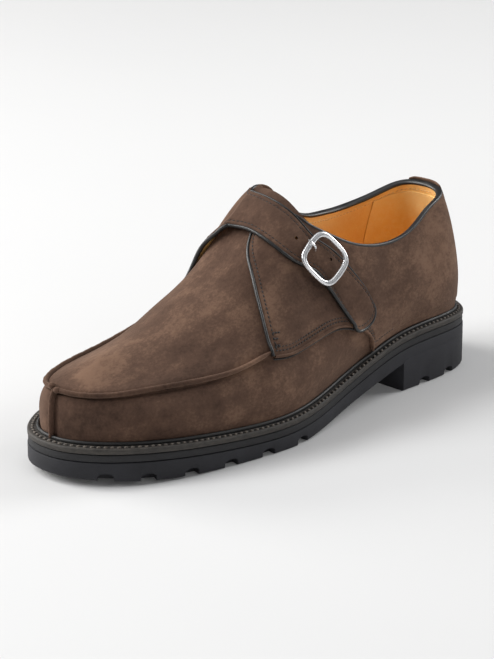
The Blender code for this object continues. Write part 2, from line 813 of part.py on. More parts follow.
def welt(leather):
    """Strip all round the upper that carries the sole stitching."""
    rim = around(every_station(sole_edge("outer", -0.3)), every_station(sole_edge("inner", -0.3)))
    seat = around(
        every_station(inset_edge("outer", WELT_INSET)),
        every_station(inset_edge("inner", WELT_INSET)),
    )
    ring = band(rim, seat, lambda y: feather_height(y) - WELT_THICKNESS, feather_height, closed=True)
    return gather("welt", [ring], leather)


def insole(leather):
    """Footbed inside the welt."""
    return slab(
        "insole",
        every_station(inset_edge("outer", INSOLE_INSET)),
        every_station(inset_edge("inner", INSOLE_INSET)),
        lambda y: feather_height(y) - WELT_THICKNESS,
        lambda y: feather_height(y) - WELT_THICKNESS + INSOLE_THICKNESS,
        leather,
    )


# ================================================================ upper pieces
def upper_places(topline):
    """Return the grid of one side of the upper, up to the ridge and then up to the topline."""
    before_throat, over_instep, beside_tongue, behind = UPPER_STEPS
    feather = 0.0 if topline is TOPLINE_OUTER else 2.0
    throat, tongue = LAST.along_at([THROAT, topline[0][0]])
    lean = [(along, feather) for along in (throat, *LAST.along_at(TONGUE_FEET), 1.0)]
    climb = np.linspace(0, 1, ROWS)[:, None]
    near = in_sections(
        (lean[:2], over_instep),
        (lean[1:3], beside_tongue),
        (lean[2:], behind),
    )
    rim = pattern(topline, 60)
    corner = int(np.argmax(np.abs(rim[:, 1] - 1) >= TONGUE_DROP))
    far = in_sections(
        ([(throat, 1.0), (tongue, 1.0)], over_instep),
        (rim[:corner + 1], beside_tongue),
        (rim[corner:], behind),
    )
    start = near[0] + (far[0] - near[0]) * climb
    end = near[-1] + (far[-1] - near[-1]) * climb
    rear = fill(start, end, near, far)
    front = np.repeat(start[None], before_throat, axis=0)
    front[..., 0] = np.linspace(0, throat, before_throat + 1)[:-1, None]
    places = np.concatenate([front, rear])
    return places[..., 0], places[..., 1]


def upper(suede):
    """Hollow shell of vamp, side walls and back, open at the topline and underneath."""
    sides = []
    for topline in (TOPLINE_OUTER, TOPLINE_INNER):
        sides.append(LAST.point(*upper_places(topline)))
    loop = np.concatenate([sides[0], sides[1][-2:0:-1], sides[0][:1]])
    piece = open_sheet("upper", loop, suede)
    wall = piece.modifiers.new("wall", "SOLIDIFY")
    wall.thickness = UPPER_WALL * MM
    wall.offset = -1.0
    wall.use_even_offset = True
    return piece


def overlay(name, places, lift, thickness, suede):
    """Make a sheet that follows the last, `lift` mm outside it."""
    along, girth = places[..., 0], places[..., 1]
    low = LAST.skin(along, girth, lift)
    high = LAST.skin(along, girth, lift + thickness)
    return sheet_solid(name, low, high, suede)


def back_of(line):
    """Return a line of places held in front of the back seam."""
    return np.column_stack([np.minimum(line[:, 0], BACK_SEAM), line[:, 1]])


def outer_quarter(suede):
    """Quarter on the buckle side, with its front edge over the vamp."""
    lengthwise, across = QUARTER_GRID
    front = pattern(QUARTER_FRONT, across)
    shoulder = pattern(QUARTER_TOP + TOPLINE_OUTER[6:], lengthwise)
    feather = np.array([[BACK_SEAM, 0.01]])
    lower = joined(pattern(QUARTER_BOTTOM, 40), feather, count=lengthwise)
    back = joined(feather, back_of(shoulder[-1:]), count=across)
    places = fill(front, back, lower, back_of(shoulder))
    lift = np.full(places.shape[:2], OVERLAY_LIFT)
    return overlay("outer_quarter", places, lift, QUARTER_THICKNESS, suede)


def parted(line, girth):
    """Return a line of places in two pieces: up to a girth and from there on."""
    corner = int(np.argmax(line[:, 1] >= girth))
    return line[:corner + 1], line[corner:]


def strap_places():
    """Return the grid of the strap and the inner quarter, from the tip to the back seam."""
    over_strap, over_instep, along_quarter = STRAP_STEPS
    strap_front, instep_front = parted(pattern(STRAP_FRONT, 120), 1.0)
    lower = [STRAP_FRONT[-1]] + [(station, 2 - girth) for station, girth in QUARTER_BOTTOM[1:]]
    feather = np.array([[BACK_SEAM, 1.985]])
    near = in_sections(
        (strap_front, over_strap),
        (instep_front, over_instep),
        (np.vstack([pattern(lower, 60), feather]), along_quarter),
    )
    strap_rear, behind = parted(back_of(pattern(STRAP_REAR + TOPLINE_INNER[3:], 200)), 1.0)
    instep_rear, collar = parted(behind, INSTEP_END)
    far = in_sections((strap_rear, over_strap), (instep_rear, over_instep), (collar, along_quarter))
    tip = joined(near[:1], far[:1], count=STRAP_ACROSS)
    spread = np.linspace(-1, 1, STRAP_ACROSS)
    tip[:, 1] -= STRAP_TIP_ROUNDING * (1 - np.abs(spread) ** STRAP_TIP_POWER) ** (1 / STRAP_TIP_POWER)
    back = joined(near[-1:], far[-1:], count=STRAP_ACROSS)
    return fill(tip, back, near, far)


def inner_quarter_strap(suede):
    """Inner quarter that runs on over the instep as the strap, down to its tip."""
    places = strap_places()
    girth = places[..., 1]
    on_strap = 1 - smooth_step(girth, *STRAP_RISE)
    middle = LAST.point(float(LAST.along_at(BUCKLE_PLACE[0])), BUCKLE_PLACE[1])
    away = np.linalg.norm(LAST.point(places[..., 0], girth) - middle, axis=-1)
    hump = STRAP_HUMP * (1 - smooth_step(away, *HUMP_REACH))
    lift = OVERLAY_LIFT + (QUARTER_THICKNESS + GAP) * on_strap + hump
    thickness = QUARTER_THICKNESS + (STRAP_THICKNESS - QUARTER_THICKNESS) * on_strap
    return overlay("inner_quarter_strap", places, lift, thickness, suede)


# ================================================================ buckle
class BuckleSeat:
    """The flat plane of the buckle over the strap.

    `forward` runs along the strap towards its tip, `across` runs over it and `normal`
    points away from the foot.
    """

    def __init__(self, station, girth):
        self.place = np.array([float(LAST.along_at(station)), girth])
        base = LAST.point(*self.place)
        normal = LAST.normal(*self.place)
        before, after = [
            LAST.point(*self.strap_middle(np.interp(girth + step, *STRAP_MIDDLE))) for step in (0.08, -0.08)
        ]
        forward = after - before - normal * np.dot(after - before, normal)
        forward /= np.linalg.norm(forward)
        across = np.cross(normal, forward)
        nose, side, turn = np.radians((*BUCKLE_LEAN, BUCKLE_TURN))
        tipped = forward * math.cos(nose) + normal * math.sin(nose)
        leaned = across * math.cos(side) + normal * math.sin(side)
        leaned -= tipped * np.dot(leaned, tipped)
        leaned /= np.linalg.norm(leaned)
        self.forward = tipped * math.cos(turn) + leaned * math.sin(turn)
        self.across = leaned * math.cos(turn) - tipped * math.sin(turn)
        self.normal = np.cross(self.forward, self.across)
        self.centre = base + normal * FRAME_LIFT

    @staticmethod
    def strap_middle(share):
        """Return the place in the middle of the strap at a share of its patterns' rows."""
        rows = (np.asarray(STRAP_FRONT[:STRAP_CORNERS]) + np.asarray(STRAP_REAR[:STRAP_CORNERS])) / 2
        station, girth = [np.interp(share, range(len(rows)), column) for column in rows.T]
        return float(LAST.along_at(station)), float(girth)

    def at(self, a, b, height):
        """Return the points a and b mm from the centre in the plane, height mm above it."""
        a, b, height = np.broadcast_arrays(*(np.asarray(v, float) for v in (a, b, height)))
        offset = a[..., None] * self.forward + b[..., None] * self.across
        return self.centre + offset + height[..., None] * self.normal


def tube(name, centres, sideways, upright, radius_a, radius_b, sides, material, closed):
    """Sweep an oval along centres with given section axes."""
    turn = np.arange(sides) * 2 * math.pi / sides
    ring = np.cos(turn)[None, :, None] * sideways[:, None] * radius_a
    ring = ring + np.sin(turn)[None, :, None] * upright[:, None] * radius_b
    points = (centres[:, None] + ring).reshape(-1, 3)
    count = len(centres)
    faces = []
    for k in range(count if closed else count - 1):
        for s in range(sides):
            here = k * sides
            there = (k + 1) % count * sides
            after = (s + 1) % sides
            faces.append([here + s, there + s, there + after, here + after])
    if not closed:
        faces.append(list(range(sides)))
        faces.append([(count - 1) * sides + s for s in range(sides)])
    return new_object(name, points, faces, material)


def buckle_frame(steel, seat):
    """Flat rounded square frame."""
    steps, sides = FRAME_GRID
    turn = np.arange(steps) * 2 * math.pi / steps
    reach = (BUCKLE_SIZE - BUCKLE_WIRE) / 2
    power = FRAME_SQUARENESS
    stretch = (np.abs(np.cos(turn)) ** power + np.abs(np.sin(turn)) ** power) ** (-1 / power)
    a = reach * stretch * np.cos(turn)
    b = reach * stretch * np.sin(turn)
    centres = seat.at(a, b, 0.0)
    outward = centres - seat.centre
    outward /= np.linalg.norm(outward, axis=1)[:, None]
    upright = np.tile(seat.normal, (steps, 1))
    half = BUCKLE_WIRE / 2
    return tube("buckle_frame", centres, outward, upright, half, half, sides, steel, closed=True)


def buckle_prong(steel, seat):
    """Pin that comes up through the strap's hole and rests on the frame."""
    half = PRONG_WIRE / 2
    hole = seat.at(PRONG_START, 0.0, 0.0)
    depth = FRAME_LIFT - STRAP_TOP - STRAP_HUMP - GAP - half
    start = hole - seat.normal * depth
    bar = seat.at((BUCKLE_WIRE - BUCKLE_SIZE) / 2, 0.0, BUCKLE_WIRE / 2 + 1.4 * GAP + half)
    forward = (bar - start) / np.linalg.norm(bar - start)
    centres = np.array([start, (start + bar) / 2, bar, bar + forward * PRONG_OVERHANG])
    sideways = np.tile(seat.across, (len(centres), 1))
    upright = np.tile(np.cross(forward, seat.across), (len(centres), 1))
    return tube("buckle_prong", centres, sideways, upright, half, half, 8, steel, closed=False)


# ================================================================ the shoe
def main():
    for old in list(bpy.data.objects):
        bpy.data.objects.remove(old, do_unlink=True)
    suede = new_material("brown_suede", (0.09, 0.058, 0.042), 0.95)
    rubber = new_material("black_rubber", (0.018, 0.018, 0.02), 0.6)
    dark_leather = new_material("dark_leather", (0.03, 0.027, 0.026), 0.5)
    tan_leather = new_material("tan_leather", (0.55, 0.27, 0.09), 0.5)
    steel = new_material("polished_steel", (0.75, 0.75, 0.75), 0.15, 1.0)
    outsole(rubber)
    heel(rubber)
    midsole(dark_leather)
    welt(dark_leather)
    insole(tan_leather)
    upper(suede)
    outer_quarter(suede)
    inner_quarter_strap(suede)
    seat = BuckleSeat(*BUCKLE_PLACE)
    buckle_frame(steel, seat)
    buckle_prong(steel, seat)


main()
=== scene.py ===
"""Single monk strap shoe for the left foot: its leather, thread, rubber and steel.

Frame: metres, +Z up, floor at Z = 0. The toe points to -Y, the heel to +Y and the buckle
side of the foot lies to +X. Tables and named sizes are in millimetres, and a mesh is turned
into metres when it is made.

Every panel is laid on the last. A place on the last is two numbers: `along`, from 0 at the
toe to 1 at the heel, and `girth`, from 0 at the feather line of the buckle side over 1 at
the ridge of the instep to 2 at the feather line of the inner side. A station is the same as
`along`, in millimetres of Y along the feather line.
"""

import logging
import math
from dataclasses import dataclass
from enum import Enum
from typing import Callable, ClassVar, Sequence

import bpy
import numpy as np
from mathutils import Matrix, Vector


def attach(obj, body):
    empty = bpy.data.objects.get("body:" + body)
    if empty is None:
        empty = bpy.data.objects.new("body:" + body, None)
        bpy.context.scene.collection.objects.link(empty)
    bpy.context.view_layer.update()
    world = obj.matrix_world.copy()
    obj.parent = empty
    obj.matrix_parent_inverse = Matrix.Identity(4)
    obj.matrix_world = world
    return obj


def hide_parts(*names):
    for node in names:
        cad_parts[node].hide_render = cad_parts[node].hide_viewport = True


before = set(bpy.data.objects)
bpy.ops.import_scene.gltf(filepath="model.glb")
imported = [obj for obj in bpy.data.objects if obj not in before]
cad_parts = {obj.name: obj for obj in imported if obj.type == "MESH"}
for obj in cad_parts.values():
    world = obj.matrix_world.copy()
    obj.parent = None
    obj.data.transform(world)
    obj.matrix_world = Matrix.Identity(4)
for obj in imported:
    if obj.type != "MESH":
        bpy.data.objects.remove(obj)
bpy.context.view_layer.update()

LOG = logging.getLogger("shoe")
MM = 0.001
Array = np.ndarray
Height = Callable[[Array], Array]
Rows = Sequence[tuple[float, ...]]
Pair = tuple[float, float]
Triple = tuple[float, float, float]
Colour = tuple[float, float, float]
Line = tuple[Array, Array]   # points in mm, and the normals there
Piece = bpy.types.Object


# ================================================================ curves
def spline_system(step: Array) -> Array:
    """Return the matrix that ties the bends of a cubic spline at its knots, free at its ends.

    Args:
        step: Distances between the knots.

    Returns:
        One row and one column for each knot.
    """
    matrix = np.eye(len(step) + 1)
    for i in range(1, len(step)):
        matrix[i, i - 1:i + 2] = step[i - 1], 2 * (step[i - 1] + step[i]), step[i]
    return matrix


def spline_span(ends: Line, bends: Line, before: Array, after: Array, step: Array) -> Array:
    """Follow a cubic spline between two of its knots.

    Args:
        ends: Values at the two knots.
        bends: Bends at the two knots.
        before: Distance still to go to the second knot.
        after: Distance from the first knot.
        step: Distance between the knots.

    Returns:
        The spline's values.
    """
    (low, high), (first, second) = ends, bends
    curved = (first * before ** 3 + second * after ** 3) / (6 * step)
    straight = (low / step - first * step / 6) * before
    return curved + straight + (high / step - second * step / 6) * after


def cubic(xs: Sequence[float], ys: Sequence[float]) -> Height:
    """Draw the natural cubic spline through a table.

    Args:
        xs: Rising places of the knots.
        ys: Values at the knots.

    Returns:
        A function of x, held at its ends.
    """
    xs = np.asarray(xs, float)
    ys = np.asarray(ys, float)
    step = np.diff(xs)
    right = np.zeros(len(xs))
    right[1:-1] = 6 * np.diff(np.diff(ys) / step)
    bend = np.linalg.solve(spline_system(step), right)

    def value(x: Array) -> Array:
        """Return the spline's value at x.

        Args:
            x: Where to read the spline.

        Returns:
            Its values there.
        """
        x = np.clip(np.asarray(x, float), xs[0], xs[-1])
        i = np.clip(np.searchsorted(xs, x) - 1, 0, len(step) - 1)
        ends, bends = (ys[i], ys[i + 1]), (bend[i], bend[i + 1])
        return spline_span(ends, bends, xs[i + 1] - x, x - xs[i], step[i])

    return value


def lengths(points: Array) -> Array:
    """Return the distance run at each point of a polyline."""
    return np.r_[0, np.cumsum(np.linalg.norm(np.diff(points, axis=0), axis=1))]


def read_off(where: Array, run: Array, table: Array) -> Array:
    """Return the columns of a table at places along its run."""
    return np.stack([np.interp(where, run, column) for column in table.T], axis=1)


def smooth_line(run: Sequence[float], points: Array, where: Array) -> Array:
    """Return the smooth line through points at places along their run."""
    return np.stack([cubic(run, column)(where) for column in points.T], axis=1)


def closed_cubic(points: Array, count: int) -> tuple[Array, Array]:
    """Draw a smooth closed curve.

    Args:
        points: Knots of the curve in the plane.
        count: Number of steps round the curve.

    Returns:
        The curve's points, and the share of the way round at each knot.
    """
    points = np.asarray(points, float)
    wrapped = 3
    ring = np.vstack([points[-wrapped:], points, points[:wrapped + 1]])
    knots = np.r_[0, np.cumsum(np.sqrt(np.linalg.norm(np.diff(ring, axis=0), axis=1)))]
    start, end = knots[wrapped], knots[wrapped + len(points)]
    where = np.linspace(start, end, count + 1)
    curve = smooth_line(knots, ring, where)
    return curve, (knots[wrapped:wrapped + len(points)] - start) / (end - start)


def even_steps(points: Array, count: int) -> Array:
    """Return `count` points at even distances along a polyline.

    Args:
        points: Corners of the polyline.
        count: Number of points.

    Returns:
        The points.
    """
    points = np.asarray(points, float)
    far = lengths(points)
    return read_off(np.linspace(0, far[-1], count), far, points)


def soft_clamp(value: Array, low: float, high: float, softness: float) -> Array:
    """Return value held between low and high with rounded corners."""
    lifted = low + softness * np.logaddexp(0, (value - low) / softness)
    return high - softness * np.logaddexp(0, (high - lifted) / softness)


def smooth_step(value: Array, low: float, high: float) -> Array:
    """Return 0 below low, 1 above high and a smooth climb between."""
    share = np.clip((np.asarray(value, float) - low) / (high - low), 0, 1)
    return share * share * (3 - 2 * share)


def hill(distance: Array, width: float) -> Array:
    """Return a bell that is 1 at distance 0 and fades out at about twice the width."""
    return np.exp(-(np.asarray(distance, float) / width) ** 2)


def dent(distance: Array, size: Pair) -> Array:
    """Return a trough of a size (depth, width) that is deepest at distance 0."""
    return -size[0] * hill(distance, size[1])


def unit(vectors: Array) -> Array:
    """Return vectors at length 1."""
    return vectors / np.maximum(np.linalg.norm(vectors, axis=-1, keepdims=True), 1e-9)


# ================================================================ the last
class Side(Enum):
    """The two sides of the foot."""

    OUTER = "outer"
    INNER = "inner"


# feather line: station % of half length, inner edge and outer edge % of ball width
FEATHER = (
    (-100, -6.5, -6.5), (-99, -16.5, 3.2), (-95.8, -24.5, 12.5), (-89.5, -33, 23),
    (-79, -42, 33.5), (-65, -48.5, 41.5), (-49, -50.5, 46.5), (-33.6, -50, 50),
    (-17.5, -45.5, 51.5), (0, -39.5, 47.5), (17.5, -34, 41.5), (35, -31.5, 37.5),
    (52.5, -33.5, 35), (68.5, -35, 34.5), (82.5, -33, 32.5), (92.3, -26.5, 26.5),
    (98, -16, 15), (100, -0.5, -0.5),
)
# feather line height: station %, share of the toe spring, share of the heel rise
FEATHER_RISE = (
    (-101, 1, 0), (-87, 0.88, 0), (-70, 0.62, 0), (-49, 0.22, 0),
    (-21, 0, 0), (7, 0, 0.19), (28, 0, 0.51), (52, 0, 0.9), (77, 0, 1),
    (101, 0, 0.9),
)
# ridge of the instep: station %, height % of the instep height, mm to the inner side
RIDGE = (
    (-77, 48.5, 4.4), (-56, 53, 4.4), (-38.5, 61.8, 6.5), (-21, 71, 8),
    (-3.5, 87, 13.5), (12.5, 99.3, 17), (31.5, 100.8, 14.5), (52.5, 99.5, 10),
    (77, 95.5, 4.4),
)
# side walls, in mm from the feather line:
# station %, wall out, wall up, seam out, seam up, crown % of the climb and of the way to the ridge
WALLS = {
    Side.OUTER: (
        (-101, -0.5, 14, -3.4, 25, 60, 48), (-84, 1.6, 13, -5.6, 24.8, 62, 48),
        (-63, 2.5, 13, -5.8, 27, 68, 48), (-42, 2.2, 14, -4.8, 31, 76, 47),
        (-21, 1.8, 15, -5.2, 37.2, 80, 45), (0, 2.2, 18, -5, 42, 79.5, 42),
        (21, 3, 20, -4.5, 47.5, 81.5, 41), (42, 3.3, 22, -4.6, 52, 86, 42),
        (63, 2.8, 24, -6.6, 55.5, 82, 46), (84, 1.8, 24, -7.8, 60, 70, 48),
        (101, 1.5, 24, -6, 66, 60, 48),
    ),
    Side.INNER: (
        (-101, -0.5, 14, -3.4, 25, 60, 48), (-84, 1.3, 13, -8.6, 25.6, 62, 48),
        (-63, 2.4, 13, -10.5, 27.2, 66, 48), (-42, 2.2, 14, -8.8, 32.5, 72, 48),
        (-21, 2, 15, -6.5, 39, 81, 46), (0, 3.3, 18, -5, 43.2, 86, 42),
        (21, 4.4, 20, -4, 47.3, 87, 41), (42, 4.8, 22, -4.1, 52, 87, 42),
        (63, 4.2, 24, -6.1, 55.8, 82, 46), (84, 2.6, 24, -8.4, 59.5, 70, 48),
        (101, 1.5, 24, -6, 66, 60, 48),
    ),
}


@dataclass
class Last:
    """The form that the upper is pulled over, as ribs from the feather line to the ridge.

    Levels are the shares of the way up a rib of its five points: foot, wall, seam, crown, ridge.
    """

    length: float = 286.0
    ball_width: float = 94.0
    instep_height: float = 118.5
    heel_seat: float = 33.4
    ball_height: float = 15.7
    toe_spring: float = 5.5
    gap: float = 0.3
    ridge_start: float = -107.0
    ridge_end: float = 108.0
    fan_softness: float = 11.0
    levels_up: tuple[float, ...] = (0.0, 0.2, 0.42, 0.7, 1.0)
    arrival: float = 0.95
    fine: int = 721
    probe: float = 0.004

    def __post_init__(self) -> None:
        """Work the tables out into curves."""
        self.half = self.length / 200
        table = np.asarray(FEATHER)
        y = table[:, 0] * self.half
        wide = self.ball_width / 100
        inner = np.stack([table[:, 1] * wide, y], axis=1)
        outer = np.stack([table[:, 2] * wide, y], axis=1)
        steps = 4 * self.fine
        curve, knots = closed_cubic(np.vstack([outer, inner[-2:0:-1]]), steps)
        heel = int(round(knots[len(table) - 1] * steps))
        self.foot = {
            Side.OUTER: even_steps(curve[:heel + 1], self.fine),
            Side.INNER: even_steps(curve[heel:][::-1], self.fine),
        }
        self.out = {side: self._outward(side) for side in Side}
        self.share = np.linspace(0, 1, self.fine)
        self.station = (self.foot[Side.OUTER][:, 1] + self.foot[Side.INNER][:, 1]) / 2
        self.walls = {side: self._wall(WALLS[side]) for side in Side}
        station, spring, rise = np.asarray(FEATHER_RISE).T
        self.spring = cubic(station, spring)
        self.rise = cubic(station, rise)
        ridge = np.asarray(RIDGE)
        self.ridge_height = cubic(ridge[:, 0] * self.half, ridge[:, 1] * self.instep_height / 100)
        self.ridge_side = cubic(ridge[:, 0] * self.half, -ridge[:, 2])
        self.step_up = np.diff(self.levels_up)
        system = spline_system(self.step_up)
        system[-1, -2:] = self.step_up[-1], 2 * self.step_up[-1]
        self.rib_bends = np.linalg.inv(system)

    def _outward(self, side: Side) -> Array:
        """Return the unit normals of the feather line, away from the foot.

        Args:
            side: Side of the foot.

        Returns:
            A direction in the plane for each point of the line.
        """
        along = np.gradient(self.foot[side], axis=0)
        turned = np.stack([along[:, 1], -along[:, 0]], axis=1)
        if side is Side.INNER:
            turned = -turned
        turned[0] = (0, -1)
        turned[-1] = (0, 1)
        return unit(turned)

    def _wall(self, rows: Rows) -> list[Height]:
        """Return one spline for each column of a wall table."""
        table = np.asarray(rows, float)
        return [cubic(table[:, 0] * self.half, column) for column in table.T[1:]]

    def beyond(self, side: Side, out: Array | float) -> Array:
        """Return the feather line of a side, moved outwards by so many mm."""
        return self.foot[side] + self.out[side] * np.reshape(out, (-1, 1))

    def feather(self, y: Array) -> Array:
        """Return the height of the feather line above the floor at station y.

        Args:
            y: Stations in mm.

        Returns:
            Heights in mm.
        """
        at = np.asarray(y, float) / self.half
        climb = self.rise(at) * (self.heel_seat - self.ball_height)
        return self.ball_height + self.spring(at) * self.toe_spring + climb

    def along_at(self, station: Array) -> Array:
        """Return the `along` of a station."""
        return np.interp(station, self.station, self.share)

    def _levels(self, side: Side, along: Array) -> tuple[Array, Array]:
        """Work out the ribs of one side.

        Args:
            side: Side of the foot.
            along: `along` of each rib.

        Returns:
            The five level points of each rib, and its direction at the ridge.
        """
        foot = read_off(along, self.share, self.foot[side])
        out = unit(read_off(along, self.share, self.out[side]))
        station = np.interp(along, self.share, self.station)
        ridge_y = soft_clamp(station, self.ridge_start, self.ridge_end, self.fan_softness)
        ridge = np.stack([self.ridge_side(ridge_y), ridge_y], axis=1)
        top = self.ridge_height(ridge_y)
        base = self.feather(foot[:, 1]) + self.gap
        columns = [curve(foot[:, 1]) for curve in self.walls[side]]
        wall_out, wall_up, seam_out, seam_up, crown_up, crown_in = columns
        wall = foot + out * wall_out[:, None]
        seam = foot + out * seam_out[:, None]
        crown = seam + (ridge - seam) * crown_in[:, None] / 100
        seam_top = base + seam_up
        crown_top = seam_top + (top - seam_top) * crown_up / 100
        heights = (base, base + wall_up, seam_top, crown_top, top)
        flats = np.stack([foot, wall, seam, crown, ridge], axis=1)
        points = np.concatenate([flats, np.stack(heights, axis=1)[..., None]], axis=2)
        slope = self.ridge_height(ridge_y + 0.5) - self.ridge_height(ridge_y - 0.5)
        arrive = (ridge - crown) / (self.levels_up[4] - self.levels_up[3]) * self.arrival
        return points, np.column_stack([arrive, arrive[:, 1] * slope])

    def _side_point(self, side: Side, along: Array, share: Array) -> Array:
        """Return points of one side.

        Args:
            side: Side of the foot.
            along: `along` of each point.
            share: Share of the way up the rib at each point.

        Returns:
            Points in mm.
        """
        points, arrive = self._levels(side, along)
        knots = np.asarray(self.levels_up)
        step = self.step_up
        slope = np.diff(points, axis=1) / step[:, None]
        right = np.zeros_like(points)
        right[:, 1:-1] = 6 * np.diff(slope, axis=1)
        right[:, -1] = 6 * (arrive - slope[:, -1])
        bend = np.einsum("ij,njk->nik", self.rib_bends, right)
        i = np.clip(np.searchsorted(knots, share, side="right") - 1, 0, len(step) - 1)
        row = np.arange(len(along))
        ends, bends = [(table[row, i], table[row, i + 1]) for table in (points, bend)]
        before, after, between = knots[i + 1] - share, share - knots[i], step[i]
        return spline_span(ends, bends, before[:, None], after[:, None], between[:, None])

    def point(self, along: Array, girth: Array) -> Array:
        """Return points of the last's surface.

        Args:
            along: `along` of each place.
            girth: `girth` of each place.

        Returns:
            Points in mm.
        """
        along, girth = np.broadcast_arrays(np.asarray(along, float), np.asarray(girth, float))
        a = np.clip(along.ravel(), 0, 1)
        g = girth.ravel()
        outer = self._side_point(Side.OUTER, a, np.clip(g, 0, 1))
        inner = self._side_point(Side.INNER, a, np.clip(2 - g, 0, 1))
        return np.where(g[:, None] <= 1, outer, inner).reshape(along.shape + (3,))

    def normal(self, along: Array, girth: Array) -> Array:
        """Return the outward unit normals of the surface.

        Args:
            along: `along` of each place.
            girth: `girth` of each place.

        Returns:
            The normals.
        """
        d = self.probe
        along = np.clip(np.asarray(along, float), d, 1 - d)
        lengthwise = self.point(along + d, girth) - self.point(along - d, girth)
        low = np.clip(np.asarray(girth, float) - d, 0, 2)
        high = np.clip(np.asarray(girth, float) + d, 0, 2)
        return unit(np.cross(lengthwise, self.point(along, high) - self.point(along, low)))

    def skin(self, places: Array, lift: Array | float) -> Array:
        """Return points `lift` mm outside the surface.

        Args:
            places: Pairs of `along` and `girth`.
            lift: Distance from the surface, for all places or for each.

        Returns:
            Points in mm.
        """
        along, girth = places[..., 0], places[..., 1]
        lift = np.broadcast_to(np.asarray(lift, float), along.shape)
        return self.point(along, girth) + self.normal(along, girth) * lift[..., None]

    # ------------------------------------------------ lines drawn on the last
    @property
    def metric(self) -> Array:
        """The mm that `along` and `girth` stand for, near enough to space points evenly."""
        return np.array([self.length, self.instep_height])

    def pattern(self, rows: Rows, count: int) -> Array:
        """Draw the smooth line through a table.

        Args:
            rows: Pairs of station and girth.
            count: Number of places on the line.

        Returns:
            Places, evenly spread.
        """
        table = np.asarray(rows, float)
        places = np.stack([self.along_at(table[:, 0]), table[:, 1]], axis=1) * self.metric
        far = lengths(places)
        fine = np.linspace(0, far[-1], 40 * len(table))
        return even_steps(smooth_line(far, places, fine), count) / self.metric

    def girth_at(self, rows: Rows, along: Array) -> Array:
        """Return the girth of a table's line at an `along`."""
        table = np.asarray(rows)
        return np.interp(along, self.along_at(table[:, 0]), table[:, 1])

    def joined(self, *lines: Array, count: int) -> Array:
        """Return `count` even places along lines laid end to end."""
        return even_steps(np.vstack(lines) * self.metric, count) / self.metric

    def in_sections(self, *sections: tuple[Array, int]) -> Array:
        """Return places along (line, steps) sections laid end to end, evenly spread in each."""
        parts = [self.joined(line, count=steps + 1) for line, steps in sections]
        return np.vstack([parts[0]] + [part[1:] for part in parts[1:]])


def fill(start: Array, end: Array, near: Array, far: Array, across: Array) -> Array:
    """Fill the grid of places between four edges.

    Args:
        start: First edge, from near to far.
        end: Last edge, from near to far.
        near: Edge from start to end.
        far: The edge opposite `near`.
        across: Share of the way from near to far at each column.

    Returns:
        Places, rows from start to end and columns from near to far.
    """
    i = np.linspace(0, 1, len(near))[:, None, None]
    j = across[None, :, None]
    lengthwise = near[:, None] * (1 - j) + far[:, None] * j
    cross = start[None] * (1 - i) + end[None] * i
    corners = (near[0] * (1 - j) + far[0] * j) * (1 - i) + (near[-1] * (1 - j) + far[-1] * j) * i
    return lengthwise + cross - corners


def crowded(count: int, crowd: float = 0.55) -> Array:
    """Return `count` shares from 0 to 1 that lie closer together towards both ends."""
    even = np.linspace(0, 1, count)
    return (1 - crowd) * even + crowd * (1 - np.cos(math.pi * even)) / 2


LAST = Last()


